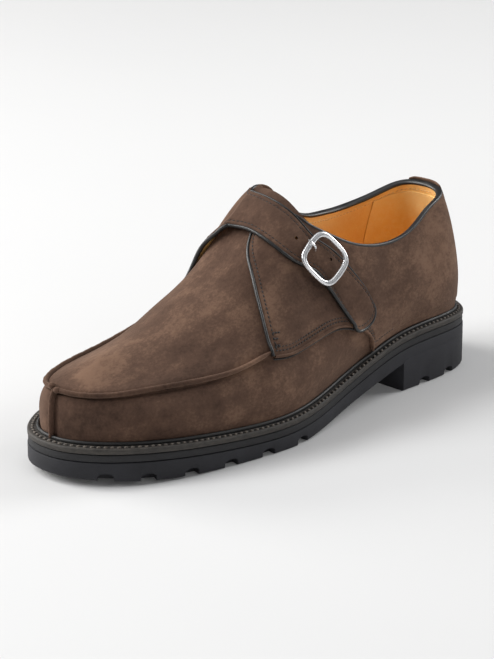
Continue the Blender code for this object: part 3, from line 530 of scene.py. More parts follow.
# ================================================================ modelling
class Bench:
    """The maker's bench: primitives are added, laid out, thickened and rounded here."""

    @staticmethod
    def add(name: str, primitive: Callable, **sizes: float) -> Piece:
        """Add a primitive with nothing else selected, and name it and its mesh.

        Args:
            name: Name of the piece.
            primitive: Operator that adds it.
            sizes: What the operator is told.

        Returns:
            The new piece.
        """
        bpy.ops.object.select_all(action="DESELECT")
        primitive(**sizes)
        piece = bpy.context.active_object
        piece.name = name
        piece.data.name = name
        return piece

    @staticmethod
    def take(piece: Piece) -> Piece:
        """Deselect everything and take one piece in hand.

        Args:
            piece: The piece.

        Returns:
            The same piece.
        """
        bpy.ops.object.select_all(action="DESELECT")
        piece.select_set(True)
        bpy.context.view_layer.objects.active = piece
        return piece

    @classmethod
    def sheet(cls, name: str, points: Array) -> Piece:
        """Lay a grid of faces on points.

        Args:
            name: Name of the piece.
            points: Rows and columns of points in mm; the front is the cross of row and column.

        Returns:
            The piece.
        """
        rows, columns = points.shape[:2]
        piece = cls.add(
            name, bpy.ops.mesh.primitive_grid_add,
            x_subdivisions=rows - 1, y_subdivisions=columns - 1, size=1,
        )
        flat = np.zeros(rows * columns * 3)
        piece.data.vertices.foreach_get("co", flat)
        flat = flat.reshape(-1, 3)
        column = np.rint((flat[:, 1] + 0.5) * (columns - 1)).astype(int)
        row = np.rint((flat[:, 0] + 0.5) * (rows - 1)).astype(int)
        piece.data.vertices.foreach_set("co", (points[row, column] * MM).ravel())
        piece.data.update()
        return piece

    @classmethod
    def edit(cls, piece: Piece, *steps: Callable) -> Piece:
        """Run operators on the whole mesh of a piece.

        Args:
            piece: The piece.
            steps: Functions that each run one operator.

        Returns:
            The same piece.
        """
        cls.take(piece)
        bpy.ops.object.mode_set(mode="EDIT")
        for step in steps:
            bpy.ops.mesh.select_all(action="SELECT")
            step()
        bpy.ops.object.mode_set(mode="OBJECT")
        return piece

    @classmethod
    def merge(cls, piece: Piece, distance: float = 0.004) -> Piece:
        """Merge the points of a sheet that lie within `distance` mm of each other."""
        return cls.edit(piece, lambda: bpy.ops.mesh.remove_doubles(threshold=distance * MM))

    @classmethod
    def close(cls, piece: Piece, fill_ends: bool = True, merge: float = 0.004) -> Piece:
        """Merge the seams of a rolled sheet, fill its ends and turn its faces outwards.

        Args:
            piece: The rolled sheet.
            fill_ends: Whether open ends get a face.
            merge: Distance in mm under which points become one.

        Returns:
            The same piece.
        """
        cls.merge(piece, merge)
        if fill_ends:
            cls.edit(piece, lambda: bpy.ops.mesh.fill_holes(sides=0))
        return cls.edit(piece, lambda: bpy.ops.mesh.normals_make_consistent(inside=False))

    @classmethod
    def modify(cls, piece: Piece, kind: str, **settings: object) -> Piece:
        """Add a modifier to a piece and apply it.

        Args:
            piece: The piece.
            kind: Type of the modifier.
            settings: Its settings.

        Returns:
            The same piece.
        """
        cls.take(piece)
        modifier = piece.modifiers.new(kind.lower(), kind)
        for name, value in settings.items():
            setattr(modifier, name, value)
        bpy.ops.object.modifier_apply(modifier=modifier.name)
        return piece

    @classmethod
    def thicken(cls, piece: Piece, thickness: float) -> Piece:
        """Give an open sheet a wall of `thickness` mm behind its face.

        Args:
            piece: The sheet.
            thickness: Thickness in mm.

        Returns:
            The same piece.
        """
        return cls.modify(
            piece, "SOLIDIFY", thickness=thickness * MM, offset=-1.0, use_even_offset=False,
            use_quality_normals=True,
        )

    @classmethod
    def ease(cls, piece: Piece, width: float, angle: float = 40.0) -> Piece:
        """Round the edges that are sharper than an angle.

        Args:
            piece: The piece.
            width: Width of the rounding in mm.
            angle: The angle in degrees.

        Returns:
            The same piece.
        """
        return cls.modify(
            piece, "BEVEL", width=width * MM, segments=2, limit_method="ANGLE",
            angle_limit=math.radians(angle), use_clamp_overlap=True,
        )

    @classmethod
    def shade(cls, piece: Piece, angle: float = 35.0) -> Piece:
        """Shade a piece smooth up to an angle between its faces.

        Args:
            piece: The piece.
            angle: The angle in degrees.

        Returns:
            The same piece.
        """
        cls.take(piece)
        bpy.ops.object.shade_smooth_by_angle(angle=math.radians(angle))
        return piece

    @classmethod
    def rolled(
        cls, name: str, line: Array, normals: Array, profile: Rows, closed: bool = False,
        ends: Pair = (1.0, 1.0), taper: float = 0.0,
    ) -> Piece:
        """Roll a sheet round a line to make a bead, cord or ridge.

        Args:
            name: Name of the piece.
            line: Points of the line in mm.
            normals: Direction at each point that counts as up.
            profile: Section as pairs of mm across and mm up.
            closed: Whether the line is a loop.
            ends: Size of the section at the two ends.
            taper: Length in mm over which an end reaches its size.

        Returns:
            The closed piece.
        """
        if closed:
            forward = np.roll(line, -1, axis=0) - np.roll(line, 1, axis=0)
        else:
            forward = np.gradient(line, axis=0)
        forward = unit(forward)
        across = unit(np.cross(normals, forward))
        up = np.cross(forward, across)
        size = np.ones(len(line))
        if taper and not closed:
            run = lengths(line)
            first = smooth_step(run, 0, taper)
            last = smooth_step(run[-1] - run, 0, taper)
            size = (ends[0] + (1 - ends[0]) * first) * (ends[1] + (1 - ends[1]) * last)
        section = np.asarray(profile, float)
        section = np.vstack([section, section[:1]])
        ring = section[None, :, :1] * across[:, None] + section[None, :, 1:] * up[:, None]
        points = line[:, None] + ring * size[:, None, None]
        if closed:
            points = np.concatenate([points, points[:1]])
        return cls.shade(cls.close(cls.sheet(name, points), fill_ends=not closed), 60)

    @staticmethod
    def join(name: str, pieces: Sequence[Piece]) -> Piece:
        """Join several pieces into one.

        Args:
            name: Name of the joined piece.
            pieces: What is joined.

        Returns:
            The joined piece.
        """
        bpy.ops.object.select_all(action="DESELECT")
        for piece in pieces:
            piece.select_set(True)
        bpy.context.view_layer.objects.active = pieces[0]
        if len(pieces) > 1:
            bpy.ops.object.join()
        joined = bpy.context.active_object
        joined.name = name
        joined.data.name = name
        return joined

    @classmethod
    def repeat(cls, name: str, model: Piece, places: Sequence[Matrix]) -> Piece:
        """Copy a small model to each place, with its own mesh, and join the copies.

        Args:
            name: Name of the joined piece.
            model: The model, at the origin in mm along its own axes; it is used up.
            places: One matrix in metres for each copy.

        Returns:
            The joined piece.
        """
        copies = []
        for place in places:
            copy = bpy.data.objects.new(name, model.data.copy())
            copy.data.transform(place)
            bpy.context.scene.collection.objects.link(copy)
            copies.append(copy)
        bpy.data.objects.remove(model, do_unlink=True)
        return cls.join(name, copies)

    @classmethod
    def subtract(cls, piece: Piece, *cutters: Piece) -> Piece:
        """Cut closed pieces out of another, one by one, and throw them away.

        Args:
            piece: The closed piece that is cut.
            cutters: What is cut out of it.

        Returns:
            The same piece.
        """
        for cutter in cutters:
            cls.modify(piece, "BOOLEAN", operation="DIFFERENCE", solver="EXACT", object=cutter)
            bpy.data.objects.remove(cutter, do_unlink=True)
        return piece

    @classmethod
    def post(cls, name: str, base: Array, axis: Array, radius: float, depth: float) -> Piece:
        """Add a round post whose middle is at `base`, in mm, along an axis.

        Args:
            name: Name of the post.
            base: Its middle in mm.
            axis: Its direction.
            radius: Radius in mm.
            depth: Length in mm.

        Returns:
            The post.
        """
        piece = cls.add(
            name, bpy.ops.mesh.primitive_cylinder_add,
            vertices=20, radius=radius * MM, depth=depth * MM,
        )
        turn = Vector(axis).to_track_quat("Z", "Y").to_matrix().to_4x4()
        piece.data.transform(Matrix.Translation(Vector(base) * MM) @ turn)
        return piece


def squared(turn: Array, power: float) -> Array:
    """Return how far a rounded square of half width 1 reaches at each turn."""
    return (np.abs(np.cos(turn)) ** power + np.abs(np.sin(turn)) ** power) ** (-1 / power)


def oval(width: float, height: float, sides: int = 12, power: float = 2.0) -> Array:
    """Draw an oval section.

    Args:
        width: Full width in mm.
        height: Full height in mm.
        sides: Number of corners.
        power: 2 for an ellipse, more for a squarer one.

    Returns:
        Pairs of mm across and mm up.
    """
    turn = np.arange(sides) * 2 * math.pi / sides
    corners = np.stack([width / 2 * np.cos(turn), height / 2 * np.sin(turn)], axis=1)
    return corners * squared(turn, power)[:, None]


# ================================================================ finishes
def arithmetic(operation: str, swapped: bool = False) -> Callable:
    """Return an operator method that adds one Math node.

    Args:
        operation: What the node does.
        swapped: Whether the wrapped socket is the second term.

    Returns:
        The method.
    """
    def method(self: "Number", other: "Number | float") -> "Number":
        """Return the result of the operation.

        Args:
            other: The other term.

        Returns:
            The result.
        """
        terms = (other, self) if swapped else (self, other)
        node = self.mixer.node("ShaderNodeMath", {"operation": operation}, dict(enumerate(terms)))
        return Number(self.mixer, node.outputs[0])

    return method


class Number:
    """A number socket of a node tree that takes part in Python arithmetic."""

    def __init__(self, mixer: "Mixer", socket: bpy.types.NodeSocket) -> None:
        """Wrap a socket."""
        self.mixer = mixer
        self.socket = socket

    __add__ = __radd__ = arithmetic("ADD")
    __mul__ = __rmul__ = arithmetic("MULTIPLY")
    __rsub__ = arithmetic("SUBTRACT", swapped=True)

    def between(self, low: float, high: float) -> "Number":
        """Return 0 at low, 1 at high and a smooth climb between.

        Args:
            low: Where the climb starts.
            high: Where it ends.

        Returns:
            The climb.
        """
        node = self.mixer.node(
            "ShaderNodeMapRange",
            {"interpolation_type": "SMOOTHSTEP", "clamp": True},
            {"Value": self, "From Min": low, "From Max": high},
        )
        return Number(self.mixer, node.outputs[0])


Link = bpy.types.NodeSocket
Node = bpy.types.Node
Material = bpy.types.Material
Value = Number | Link | float | Sequence[float]


class Mixer:
    """Builds one material: its nodes, its numbers and its colours."""

    def __init__(self, name: str) -> None:
        """Start a material with an empty Principled shader.

        Args:
            name: Name of the material.
        """
        self.material = bpy.data.materials.new(name)
        self.material.use_nodes = True
        self.tree = self.material.node_tree
        self.shader = self.tree.nodes["Principled BSDF"]
        self.place = self.node("ShaderNodeTexCoord").outputs["Object"]

    def feed(self, socket: Link, value: Value) -> None:
        """Link a value to a socket, or set it there when it is plain.

        Args:
            socket: Socket of a node.
            value: What it is given.
        """
        value = value.socket if isinstance(value, Number) else value
        if isinstance(value, Link):
            self.tree.links.new(value, socket)
        elif socket.type == "RGBA":
            socket.default_value = (*value, 1.0)
        else:
            socket.default_value = value

    def node(self, kind: str, settings: dict | None = None, inputs: dict | None = None) -> Node:
        """Add a node.

        Args:
            kind: Type of the node.
            settings: Its own settings, which are set first.
            inputs: Values or links of its sockets, by name or number.

        Returns:
            The node.
        """
        made = self.tree.nodes.new(kind)
        for name, value in (settings or {}).items():
            setattr(made, name, value)
        for name, value in (inputs or {}).items():
            self.feed(made.inputs[name], value)
        return made

    def stretched(self, scale: Sequence[float], turn: Sequence[float] = (0.0, 0.0, 0.0)) -> Link:
        """Return the place, scaled and turned by degrees.

        Args:
            scale: Scale along each axis.
            turn: Degrees about each axis.

        Returns:
            The place.
        """
        angles = [math.radians(t) for t in turn]
        inputs = {"Vector": self.place, "Scale": scale, "Rotation": angles}
        return self.node("ShaderNodeMapping", {}, inputs).outputs[0]

    def cloud(
        self, size: float, detail: float = 2.0, rough: float = 0.5, place: Link | None = None,
        twist: float = 0.0,
    ) -> Number:
        """Make soft noise.

        Args:
            size: Rough width of its blotches in mm.
            detail: How many finer layers it has.
            rough: How strong the finer layers are.
            place: Place to read it at, if not the plain one.
            twist: How far its outlines are stirred.

        Returns:
            The noise.
        """
        inputs = {
            "Vector": place or self.place, "Scale": 0.6 / (size * MM), "Detail": detail,
            "Roughness": rough, "Distortion": twist,
        }
        return Number(self, self.node("ShaderNodeTexNoise", {}, inputs).outputs["Fac"])

    def cells(self, size: float) -> Number:
        """Return the pattern of a leather's grain, in cells about `size` mm across.

        Args:
            size: Width of a cell in mm.

        Returns:
            The distance from the middle of each cell.
        """
        inputs = {"Vector": self.place, "Scale": 1 / (size * MM)}
        node = self.node("ShaderNodeTexVoronoi", {"feature": "SMOOTH_F1"}, inputs)
        return Number(self, node.outputs["Distance"])

    def mark(self, place: Sequence[float], reach: float, edge: Number) -> Number:
        """Return 1 at a place in mm that fades out round it, ragged by an edge pattern.

        Args:
            place: The place in mm.
            reach: How far the mark reaches in mm.
            edge: Pattern that makes its outline ragged.

        Returns:
            The mark.
        """
        ends = {0: self.place, 1: [value * MM for value in place]}
        node = self.node("ShaderNodeVectorMath", {"operation": "DISTANCE"}, ends)
        away = Number(self, node.outputs["Value"]) * (0.7 + 0.6 * edge)
        return 1 - away.between(0.0, 1.75 * reach * MM)

    def blend(self, share: Number | float, first: Colour | Link, second: Colour | Link) -> Link:
        """Return the colour `share` of the way from the first to the second.

        Args:
            share: From 0 to 1.
            first: Colour at 0.
            second: Colour at 1.

        Returns:
            The colour.
        """
        node = self.node(
            "ShaderNodeMix", {"data_type": "RGBA", "clamp_factor": True},
            {0: share, 6: first, 7: second},
        )
        return node.outputs[2]

    def bump(self, height: Number, depth: float) -> None:
        """Let a height pattern raise the surface by up to `depth` mm."""
        inputs = {"Height": height, "Distance": depth * MM, "Strength": 1.0}
        self.paint(normal=self.node("ShaderNodeBump", {}, inputs).outputs[0])

    def paint(self, **sockets: Value) -> Material:
        """Set the shader's sockets, named with underscores, and return the material.

        Args:
            sockets: Value of each socket.

        Returns:
            The material.
        """
        for name, value in sockets.items():
            title = name.replace("_", " ").title().replace("Ior", "IOR")
            self.feed(self.shader.inputs[title], value)
        return self.material


def tone(red: int, green: int, blue: int) -> Colour:
    """Return the linear colour of a screen colour in 0..255.

    Args:
        red: Red of the screen colour.
        green: Its green.
        blue: Its blue.

    Returns:
        The linear colour.
    """
    return tuple(
        c / 12.92 if c <= 0.04045 else ((c + 0.055) / 1.055) ** 2.4
        for c in (red / 255, green / 255, blue / 255)
    )


@dataclass(frozen=True)
class Suede:
    """Brushed calf suede with a short nap, with lighter and darker patches painted into its colour.

    Each patch is a place in mm, its reach in mm and how much lighter the colour is there. The
    patches stand partly for marks in the nap and partly for painted light and shade.
    """

    name: str = "brown_suede"
    deep: Colour = tone(64, 48, 40)
    middle: Colour = tone(88, 67, 56)
    brushed: Colour = tone(122, 95, 78)
    blotch: float = 38.0
    nap: float = 0.7
    # painted patches, partly nap marks and partly painted light and shade: place in mm, reach in
    # mm, how much lighter
    nap_and_shade_patches: tuple[tuple[tuple[int, int, int], int, float], ...] = (
        ((-2, -117, 55), 14, 0.30), ((34, -98, 43), 32, -0.19), ((10, -138, 27), 14, -0.27),
        ((30, 118, 77), 21, 0.26), ((32, 17, 91), 9, 0.20), ((-14, -33, 82), 32, 0.14),
        ((4, -126, 52), 9, 0.32), ((25, -70, 58), 14, -0.17), ((-7, -98, 59), 14, 0.27),
        ((36, 63, 64), 21, -0.12), ((44, 12, 45), 21, 0.15), ((46, -48, 43), 9, 0.18),
        ((19, -131, 38), 9, -0.18), ((29, -38, 68), 14, 0.12), ((34, 11, 73), 9, -0.18),
        ((30, -119, 25), 9, 0.15), ((-40, -20, 45), 28, -0.1), ((-34, 95, 60), 40, -0.12),
    )

    def material(self) -> Material:
        """Return the suede.

        Returns:
            The material.
        """
        mixer = Mixer(self.name)
        blotches = mixer.cloud(self.blotch, 3, 0.55, twist=0.6).between(0.36, 0.66)
        brushing = mixer.stretched((1.0, 0.45, 0.8), (20, 0, 35))
        strokes = mixer.cloud(5.5, 3, 0.6, brushing).between(0.36, 0.68)
        fibres = mixer.cloud(self.nap, 3, 0.7, mixer.stretched((1.0, 0.6, 0.8), (15, 0, 25)))
        pores = mixer.cloud(2.2, 3, 0.65)
        share = blotches * 0.26 + strokes * 0.2 + fibres * 0.5 + pores * 0.3
        edge = mixer.cloud(8.0, 3, 0.6)
        # lay the painted patches into the colour: partly nap marks, partly painted highlight and
        # painted shade
        for place, reach, amount in self.nap_and_shade_patches:
            share = share + mixer.mark(place, reach, edge) * amount
        low = mixer.blend(share.between(0.22, 0.62), self.deep, self.middle)
        colour = mixer.blend(share.between(0.55, 0.98), low, self.brushed)
        mixer.bump(fibres * 0.6 + pores * 0.35 + strokes * 0.25, 0.28)
        return mixer.paint(
            base_color=colour, roughness=0.95 - 0.1 * blotches, sheen_weight=0.35,
            sheen_roughness=0.45, sheen_tint=tone(196, 168, 146), specular_ior_level=0.12,
        )


@dataclass(frozen=True)
class Piping:
    """Smooth black leather folded into a bead, worn a little grey in soft patches."""

    name: str = "piping_leather"
    dark: Colour = tone(20, 20, 20)
    worn: Colour = tone(46, 45, 44)
    rough: float = 0.38

    def material(self) -> Material:
        """Return the leather.

        Returns:
            The material.
        """
        mixer = Mixer(self.name)
        grain = mixer.cells(0.7)
        wear = mixer.cloud(7.0, 3, 0.6).between(0.42, 0.72)
        colour = mixer.blend(wear * 0.7 + grain * 0.12, self.dark, self.worn)
        mixer.bump(grain * 0.6 + mixer.cloud(0.4, 2) * 0.4, 0.07)
        return mixer.paint(
            base_color=colour, roughness=self.rough + 0.16 * wear, specular_ior_level=0.55,
            coat_weight=0.12, coat_roughness=0.25,
        )


@dataclass(frozen=True)
class Lining:
    """Vegetable tanned calf lining, paler in soft blotches and specks."""

    name: str = "tan_lining"
    deep: Colour = tone(238, 176, 92)
    middle: Colour = tone(249, 198, 116)
    pale: Colour = tone(252, 212, 140)

    def material(self) -> Material:
        """Return the leather.

        Returns:
            The material.
        """
        mixer = Mixer(self.name)
        blotches = mixer.cloud(34.0, 3, 0.5).between(0.32, 0.7)
        grain = mixer.cells(0.9)
        speckle = mixer.cloud(1.6, 3, 0.65).between(0.35, 0.7)
        low = mixer.blend(blotches, self.deep, self.middle)
        colour = mixer.blend(speckle * 0.35 + blotches * 0.2, low, self.pale)
        mixer.bump(grain * 0.5 + mixer.cloud(0.6, 2) * 0.5, 0.09)
        return mixer.paint(
            base_color=colour, roughness=0.5 + 0.14 * speckle, specular_ior_level=0.4,
            sheen_weight=0.1,
        )


@dataclass(frozen=True)
class WeltLeather:
    """Dark dressed leather of the welt, with greyer streaks."""

    name: str = "welt_leather"
    dark: Colour = tone(36, 33, 31)
    grey: Colour = tone(90, 85, 79)
    rough: float = 0.6

    def material(self) -> Material:
        """Return the leather.

        Returns:
            The material.
        """
        mixer = Mixer(self.name)
        streaks = mixer.cloud(3.2, 3, 0.65, mixer.stretched((1.0, 1.0, 3.5))).between(0.3, 0.75)
        fine = mixer.cloud(0.5, 3, 0.7)
        colour = mixer.blend(streaks * 0.5 + fine * 0.3, self.dark, self.grey)
        mixer.bump(fine * 0.6 + streaks * 0.4, 0.12)
        roughness = self.rough + 0.2 * streaks
        return mixer.paint(base_color=colour, roughness=roughness, specular_ior_level=0.45)


@dataclass(frozen=True)
class Rubber:
    """Moulded black rubber with a dusty bloom."""

    name: str = "sole_rubber"
    dark: Colour = tone(38, 38, 41)
    bloom: Colour = tone(62, 62, 66)
    rough: float = 0.66

    def material(self) -> Material:
        """Return the rubber.

        Returns:
            The material.
        """
        mixer = Mixer(self.name)
        dust = mixer.cloud(16.0, 4, 0.6).between(0.3, 0.75)
        grit = mixer.cloud(0.45, 2, 0.6)
        colour = mixer.blend(dust * 0.55 + grit * 0.25, self.dark, self.bloom)
        mixer.bump(grit * 0.7 + mixer.cloud(2.2, 2) * 0.3, 0.07)
        roughness = self.rough + 0.14 * dust
        return mixer.paint(base_color=colour, roughness=roughness, specular_ior_level=0.28)


@dataclass(frozen=True)
class Thread:
    """Waxed sewing thread."""

    name: str = "dark_thread"
    dark: Colour = tone(20, 16, 14)
    light: Colour = tone(46, 37, 32)

    def material(self) -> Material:
        """Return the thread.

        Returns:
            The material.
        """
        mixer = Mixer(self.name)
        twist = mixer.cloud(0.35, 2, 0.6)
        mixer.bump(twist, 0.1)
        colour = mixer.blend(twist.between(0.35, 0.65), self.dark, self.light)
        return mixer.paint(base_color=colour, roughness=0.6 + 0.15 * twist, sheen_weight=0.15)


@dataclass(frozen=True)
class Steel:
    """Polished plated steel with hairline rub marks."""

    name: str = "polished_steel"
    bright: Colour = tone(246, 246, 247)
    dull: Colour = tone(230, 231, 233)

    def material(self) -> Material:
        """Return the metal.

        Returns:
            The material.
        """
        mixer = Mixer(self.name)
        rubs = mixer.cloud(1.2, 3, 0.7, mixer.stretched((1.0, 0.25, 1.0), (0, 0, 30)))
        haze = mixer.cloud(6.0, 3, 0.6).between(0.35, 0.7)
        mixer.bump(rubs, 0.012)
        return mixer.paint(
            base_color=mixer.blend(haze, self.bright, self.dull), metallic=0.92,
            roughness=0.21 + 0.08 * haze + 0.05 * rubs,
        )


@dataclass(frozen=True)
class Paper:
    """Pale paper on a softly lit table under the shoe."""

    name: str = "studio_paper"
    pale: Colour = (0.71, 0.71, 0.706)
    shade: Colour = (0.685, 0.685, 0.685)
    glow: Colour = (0.03, 0.03, 0.03)

    def material(self) -> Material:
        """Return the paper.

        Returns:
            The material.
        """
        mixer = Mixer(self.name)
        colour = mixer.blend(mixer.cloud(180.0, 2), self.pale, self.shade)
        return mixer.paint(
            base_color=colour, roughness=0.9, specular_ior_level=0.1,
            emission_color=self.glow, emission_strength=1.0,
        )


class Finish(Enum):
    """The finishes of the shoe and the record's slot that each belongs to."""

    SUEDE = (Suede(), "brown_suede")
    PIPING = (Piping(), "dark_leather")
    LINING = (Lining(), "tan_leather")
    WELT = (WeltLeather(), "dark_leather")
    RUBBER = (Rubber(), "black_rubber")
    GRIP = (
        Lining("grip_lining", tone(243, 188, 106), tone(251, 208, 132), tone(253, 222, 158)),
        "tan_leather",
    )
    MIDSOLE = (
        WeltLeather("midsole_leather", tone(33, 33, 35), tone(50, 49, 50), 0.66), "dark_leather"
    )
    THREAD = (Thread(), "dark_leather")
    PALE_THREAD = (Thread("pale_thread", tone(206, 160, 96), tone(238, 205, 150)), "tan_leather")
    WELT_THREAD = (Thread("welt_thread", tone(58, 52, 47), tone(118, 108, 97)), "dark_leather")
    WELT_BEAD = (
        Piping("welt_bead_leather", tone(15, 15, 15), tone(32, 31, 30), 0.56), "dark_leather"
    )
    STEEL = (Steel(), "polished_steel")


class Rack:
    """Keeps one material of each finish and dresses pieces in it."""

    def __init__(self) -> None:
        """Start with nothing mixed."""
        self.mixed: dict[Finish, Material] = {}

    def material(self, finish: Finish) -> Material:
        """Return the material of a finish, mixed when first asked for.

        Args:
            finish: The finish.

        Returns:
            Its material.
        """
        if finish not in self.mixed:
            self.mixed[finish] = finish.value[0].material()
        return self.mixed[finish]

    def dress(self, piece: Piece, finish: Finish, *replaced: str) -> Piece:
        """Put a finish on a piece of the shoe and hide the CAD nodes that it stands for.

        Args:
            piece: The finished mesh.
            finish: What it is made of.
            replaced: CAD nodes that it stands for.

        Returns:
            The same piece.
        """
        piece.data.materials.clear()
        piece.data.materials.append(self.material(finish))
        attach(piece, "root")
        if replaced:
            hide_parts(*replaced)
        LOG.info("%s: %d faces, %s", piece.name, len(piece.data.polygons), finish.name.lower())
        return piece


RACK = Rack()


# ================================================================ panels, beads and stitches
@dataclass(frozen=True)
class Crease:
    """A soft trough or swelling in the leather.

    Its middle is at a station and girth, its long axis turned from the shoe's length by
    `turn` degrees, and `rise` is negative for a trough.
    """

    station: float
    girth: float
    turn: float
    length: float
    width: float
    rise: float

    def over(self, places: Array) -> Array:
        """Return the rise in mm at each place.

        Args:
            places: Places on the last.

        Returns:
            Rises in mm.
        """
        offset = (places - (LAST.along_at(self.station), self.girth)) * LAST.metric
        cos, sin = math.cos(math.radians(self.turn)), math.sin(math.radians(self.turn))
        along = offset[..., 0] * cos + offset[..., 1] * sin
        across = offset[..., 1] * cos - offset[..., 0] * sin
        return self.rise * np.exp(-(along / self.length) ** 2 - (across / self.width) ** 2)


def relief(places: Array, creases: Sequence[Crease]) -> Array:
    """Return the summed rise of several creases at each place."""
    return sum((crease.over(places) for crease in creases), np.zeros(places.shape[:-1]))


class Panel:
    """A grid of places and how far each lies, in mm, from three of the panel's edges."""

    def __init__(self, places: Array) -> None:
        """Measure a grid whose rows run from start to end and columns from near to far.

        Args:
            places: The grid of places.
        """
        self.places = places
        points = LAST.point(places[..., 0], places[..., 1])
        across = np.linalg.norm(np.diff(points, axis=1), axis=-1)
        along = np.linalg.norm(np.diff(points, axis=0), axis=-1)
        self.near = np.pad(np.cumsum(across, axis=1), ((0, 0), (1, 0)))
        self.far = self.near[:, -1:] - self.near
        self.start = np.pad(np.cumsum(along, axis=0), ((1, 0), (0, 0)))

    @staticmethod
    def _at(row: Array, distance: Array, offset: float) -> Array:
        """Return the place in one row of places where a distance reaches an offset.

        Args:
            row: The places.
            distance: Distance at each.
            offset: The offset in mm.

        Returns:
            The place.
        """
        if distance[0] > distance[-1]:
            row, distance = row[::-1], distance[::-1]
        return np.array([np.interp(offset, distance, column) for column in row.T])

    def beside(self, edge: str, offset: float) -> Array:
        """Return the line of places that runs `offset` mm inside an edge.

        Args:
            edge: One of near, far and start.
            offset: Distance from it in mm.

        Returns:
            Places along the line.
        """
        rows, distance = self.places, getattr(self, edge)
        if edge == "start":
            rows, distance = rows.transpose(1, 0, 2), distance.T
        return np.array([self._at(row, far, offset) for row, far in zip(rows, distance)])

    def spot(self, start: float, near: float) -> Array:
        """Return the place nearest to two distances from the edges."""
        miss = (self.start - start) ** 2 + (self.near - near) ** 2
        return self.places[np.unravel_index(np.argmin(miss), miss.shape)]

    def lay(self, name: str, lift: Array | float, thickness: float) -> Piece:
        """Lay the panel at a lift above the last and give it thickness downwards."""
        return Bench.thicken(Bench.sheet(name, facing_out(LAST.skin(self.places, lift))), thickness)


def facing_out(points: Array) -> Array:
    """Return a grid of points with its columns in the order that faces away from the last.

    Args:
        points: The grid in mm.

    Returns:
        The grid, turned over where it faced inwards.
    """
    rows = points[1:, :-1] - points[:-1, :-1]
    columns = points[:-1, 1:] - points[:-1, :-1]
    middle = np.array([0.0, 0.0, LAST.instep_height / 2])
    outward = (np.cross(rows, columns) * ((points[:-1, :-1] - middle) * (1, 0, 1))).sum()
    return points if outward > 0 else points[:, ::-1]


def trimmed(line: Array, start: float, end: float) -> Array:
    """Return a line of places without its first `start` and last `end` mm.

    Args:
        line: The line of places.
        start: Length in mm cut at its start.
        end: Length in mm cut at its end.

    Returns:
        The rest of the line.
    """
    run = lengths(LAST.point(line[:, 0], line[:, 1]))
    keep = (run >= start) & (run <= run[-1] - end)
    return line[keep]


@dataclass(frozen=True)
class Stitching:
    """A row of stitches of one length, slanted a little by the twist of the thread."""

    pitch: float = 2.4
    length: float = 1.9
    width: float = 0.75
    height: float = 0.7
    slant: float = 9.0

    def model(self) -> Piece:
        """Return one stitch at the origin: a low grain with rounded ends.

        Returns:
            The piece.
        """
        piece = Bench.add(
            "stitch", bpy.ops.mesh.primitive_uv_sphere_add, segments=8, ring_count=5, radius=0.5
        )
        bpy.ops.object.mode_set(mode="EDIT")
        bpy.ops.mesh.select_all(action="SELECT")
        bpy.ops.transform.rotate(value=math.pi / 2, orient_axis="Y", center_override=(0, 0, 0))
        bpy.ops.transform.resize(value=[s * MM for s in (self.length, self.width, self.height)])
        bpy.ops.object.mode_set(mode="OBJECT")
        return Bench.shade(piece, 60)

    def matrices(self, line: Array, normals: Array) -> list[Matrix]:
        """Place the stitches of one row.

        Args:
            line: Points of the row in mm.
            normals: Direction at each point that counts as up.

        Returns:
            The matrix of each stitch, in metres.
        """
        run = lengths(line)
        count = max(2, int(round(run[-1] / self.pitch)))
        where = (np.arange(count) + 0.5) * run[-1] / count
        centre = read_off(where, run, line)
        up = unit(read_off(where, run, normals))
        forward = read_off(where, run, np.gradient(line, axis=0))
        across = unit(np.cross(up, forward))
        forward = np.cross(across, up)
        turn = math.radians(self.slant)
        ahead = forward * math.cos(turn) + across * math.sin(turn)
        side = across * math.cos(turn) - forward * math.sin(turn)
        matrices = np.tile(np.eye(4), (count, 1, 1))
        matrices[:, :3] = np.stack([ahead, side, up, centre * MM], axis=-1)
        return [Matrix(matrix) for matrix in matrices]

    def sew(self, name: str, rows: Sequence[Line]) -> Piece:
        """Sew rows of stitches, each given as its points in mm and the normals there."""
        places = [matrix for line, normals in rows for matrix in self.matrices(line, normals)]
        return Bench.repeat(name, self.model(), places)


def on_last(line: Array, lift: Array | float) -> Line:
    """Return the points of a line of places at a lift, and the normals there."""
    return LAST.skin(line, lift), LAST.normal(line[:, 0], line[:, 1])


def roll(name: str, line: Array, lift: Array | float, section: Rows, **ends: Pair | float) -> Piece:
    """Roll a section along a line of places, at a lift, as `Bench.rolled` does."""
    return Bench.rolled(name, *on_last(line, lift), section, **ends)


# ================================================================ pattern lines
# all of them: station in mm, girth
TOPLINE_OUTER = (
    (20.5, 1), (20.9, 0.94), (20.5, 0.87), (20.2, 0.79), (20.6, 0.73), (23, 0.672),
    (27.5, 0.622), (36, 0.571), (45.2, 0.521), (55.5, 0.475), (66.8, 0.436), (79, 0.41),
    (92.3, 0.407), (104, 0.427), (114, 0.447), (128, 0.452), (143, 0.445),
)
TOPLINE_INNER = (
    (20.5, 1), (20.6, 1.09), (22.6, 1.19), (29, 1.265), (36, 1.345), (46, 1.425),
    (57.5, 1.49), (65, 1.519), (75, 1.547), (86, 1.571), (100, 1.58), (113, 1.574),
    (127, 1.562), (143, 1.555),
)
APRON_SEAM = (
    (-143, 0.417), (-131, 0.41), (-111, 0.433), (-78, 0.425), (-60, 0.417),
    (-40, 0.421), (-32, 0.412),
)
QUARTER_FRONT = (
    (-33.5, 0.4), (-32, 0.487), (-29.2, 0.565), (-24.5, 0.664), (-19, 0.754), (-15.4, 0.805),
    (-11.3, 0.838), (-6, 0.858), (0, 0.866),
)
QUARTER_TOP = (
    (0, 0.866), (9, 0.81), (16, 0.735), (20.5, 0.676),
)
QUARTER_BOTTOM = (
    (-33.5, 0.4), (-22, 0.37), (-9.5, 0.358), (4, 0.344), (17.5, 0.32), (29, 0.275),
    (41, 0.195), (48, 0.12), (52, 0.03),
)
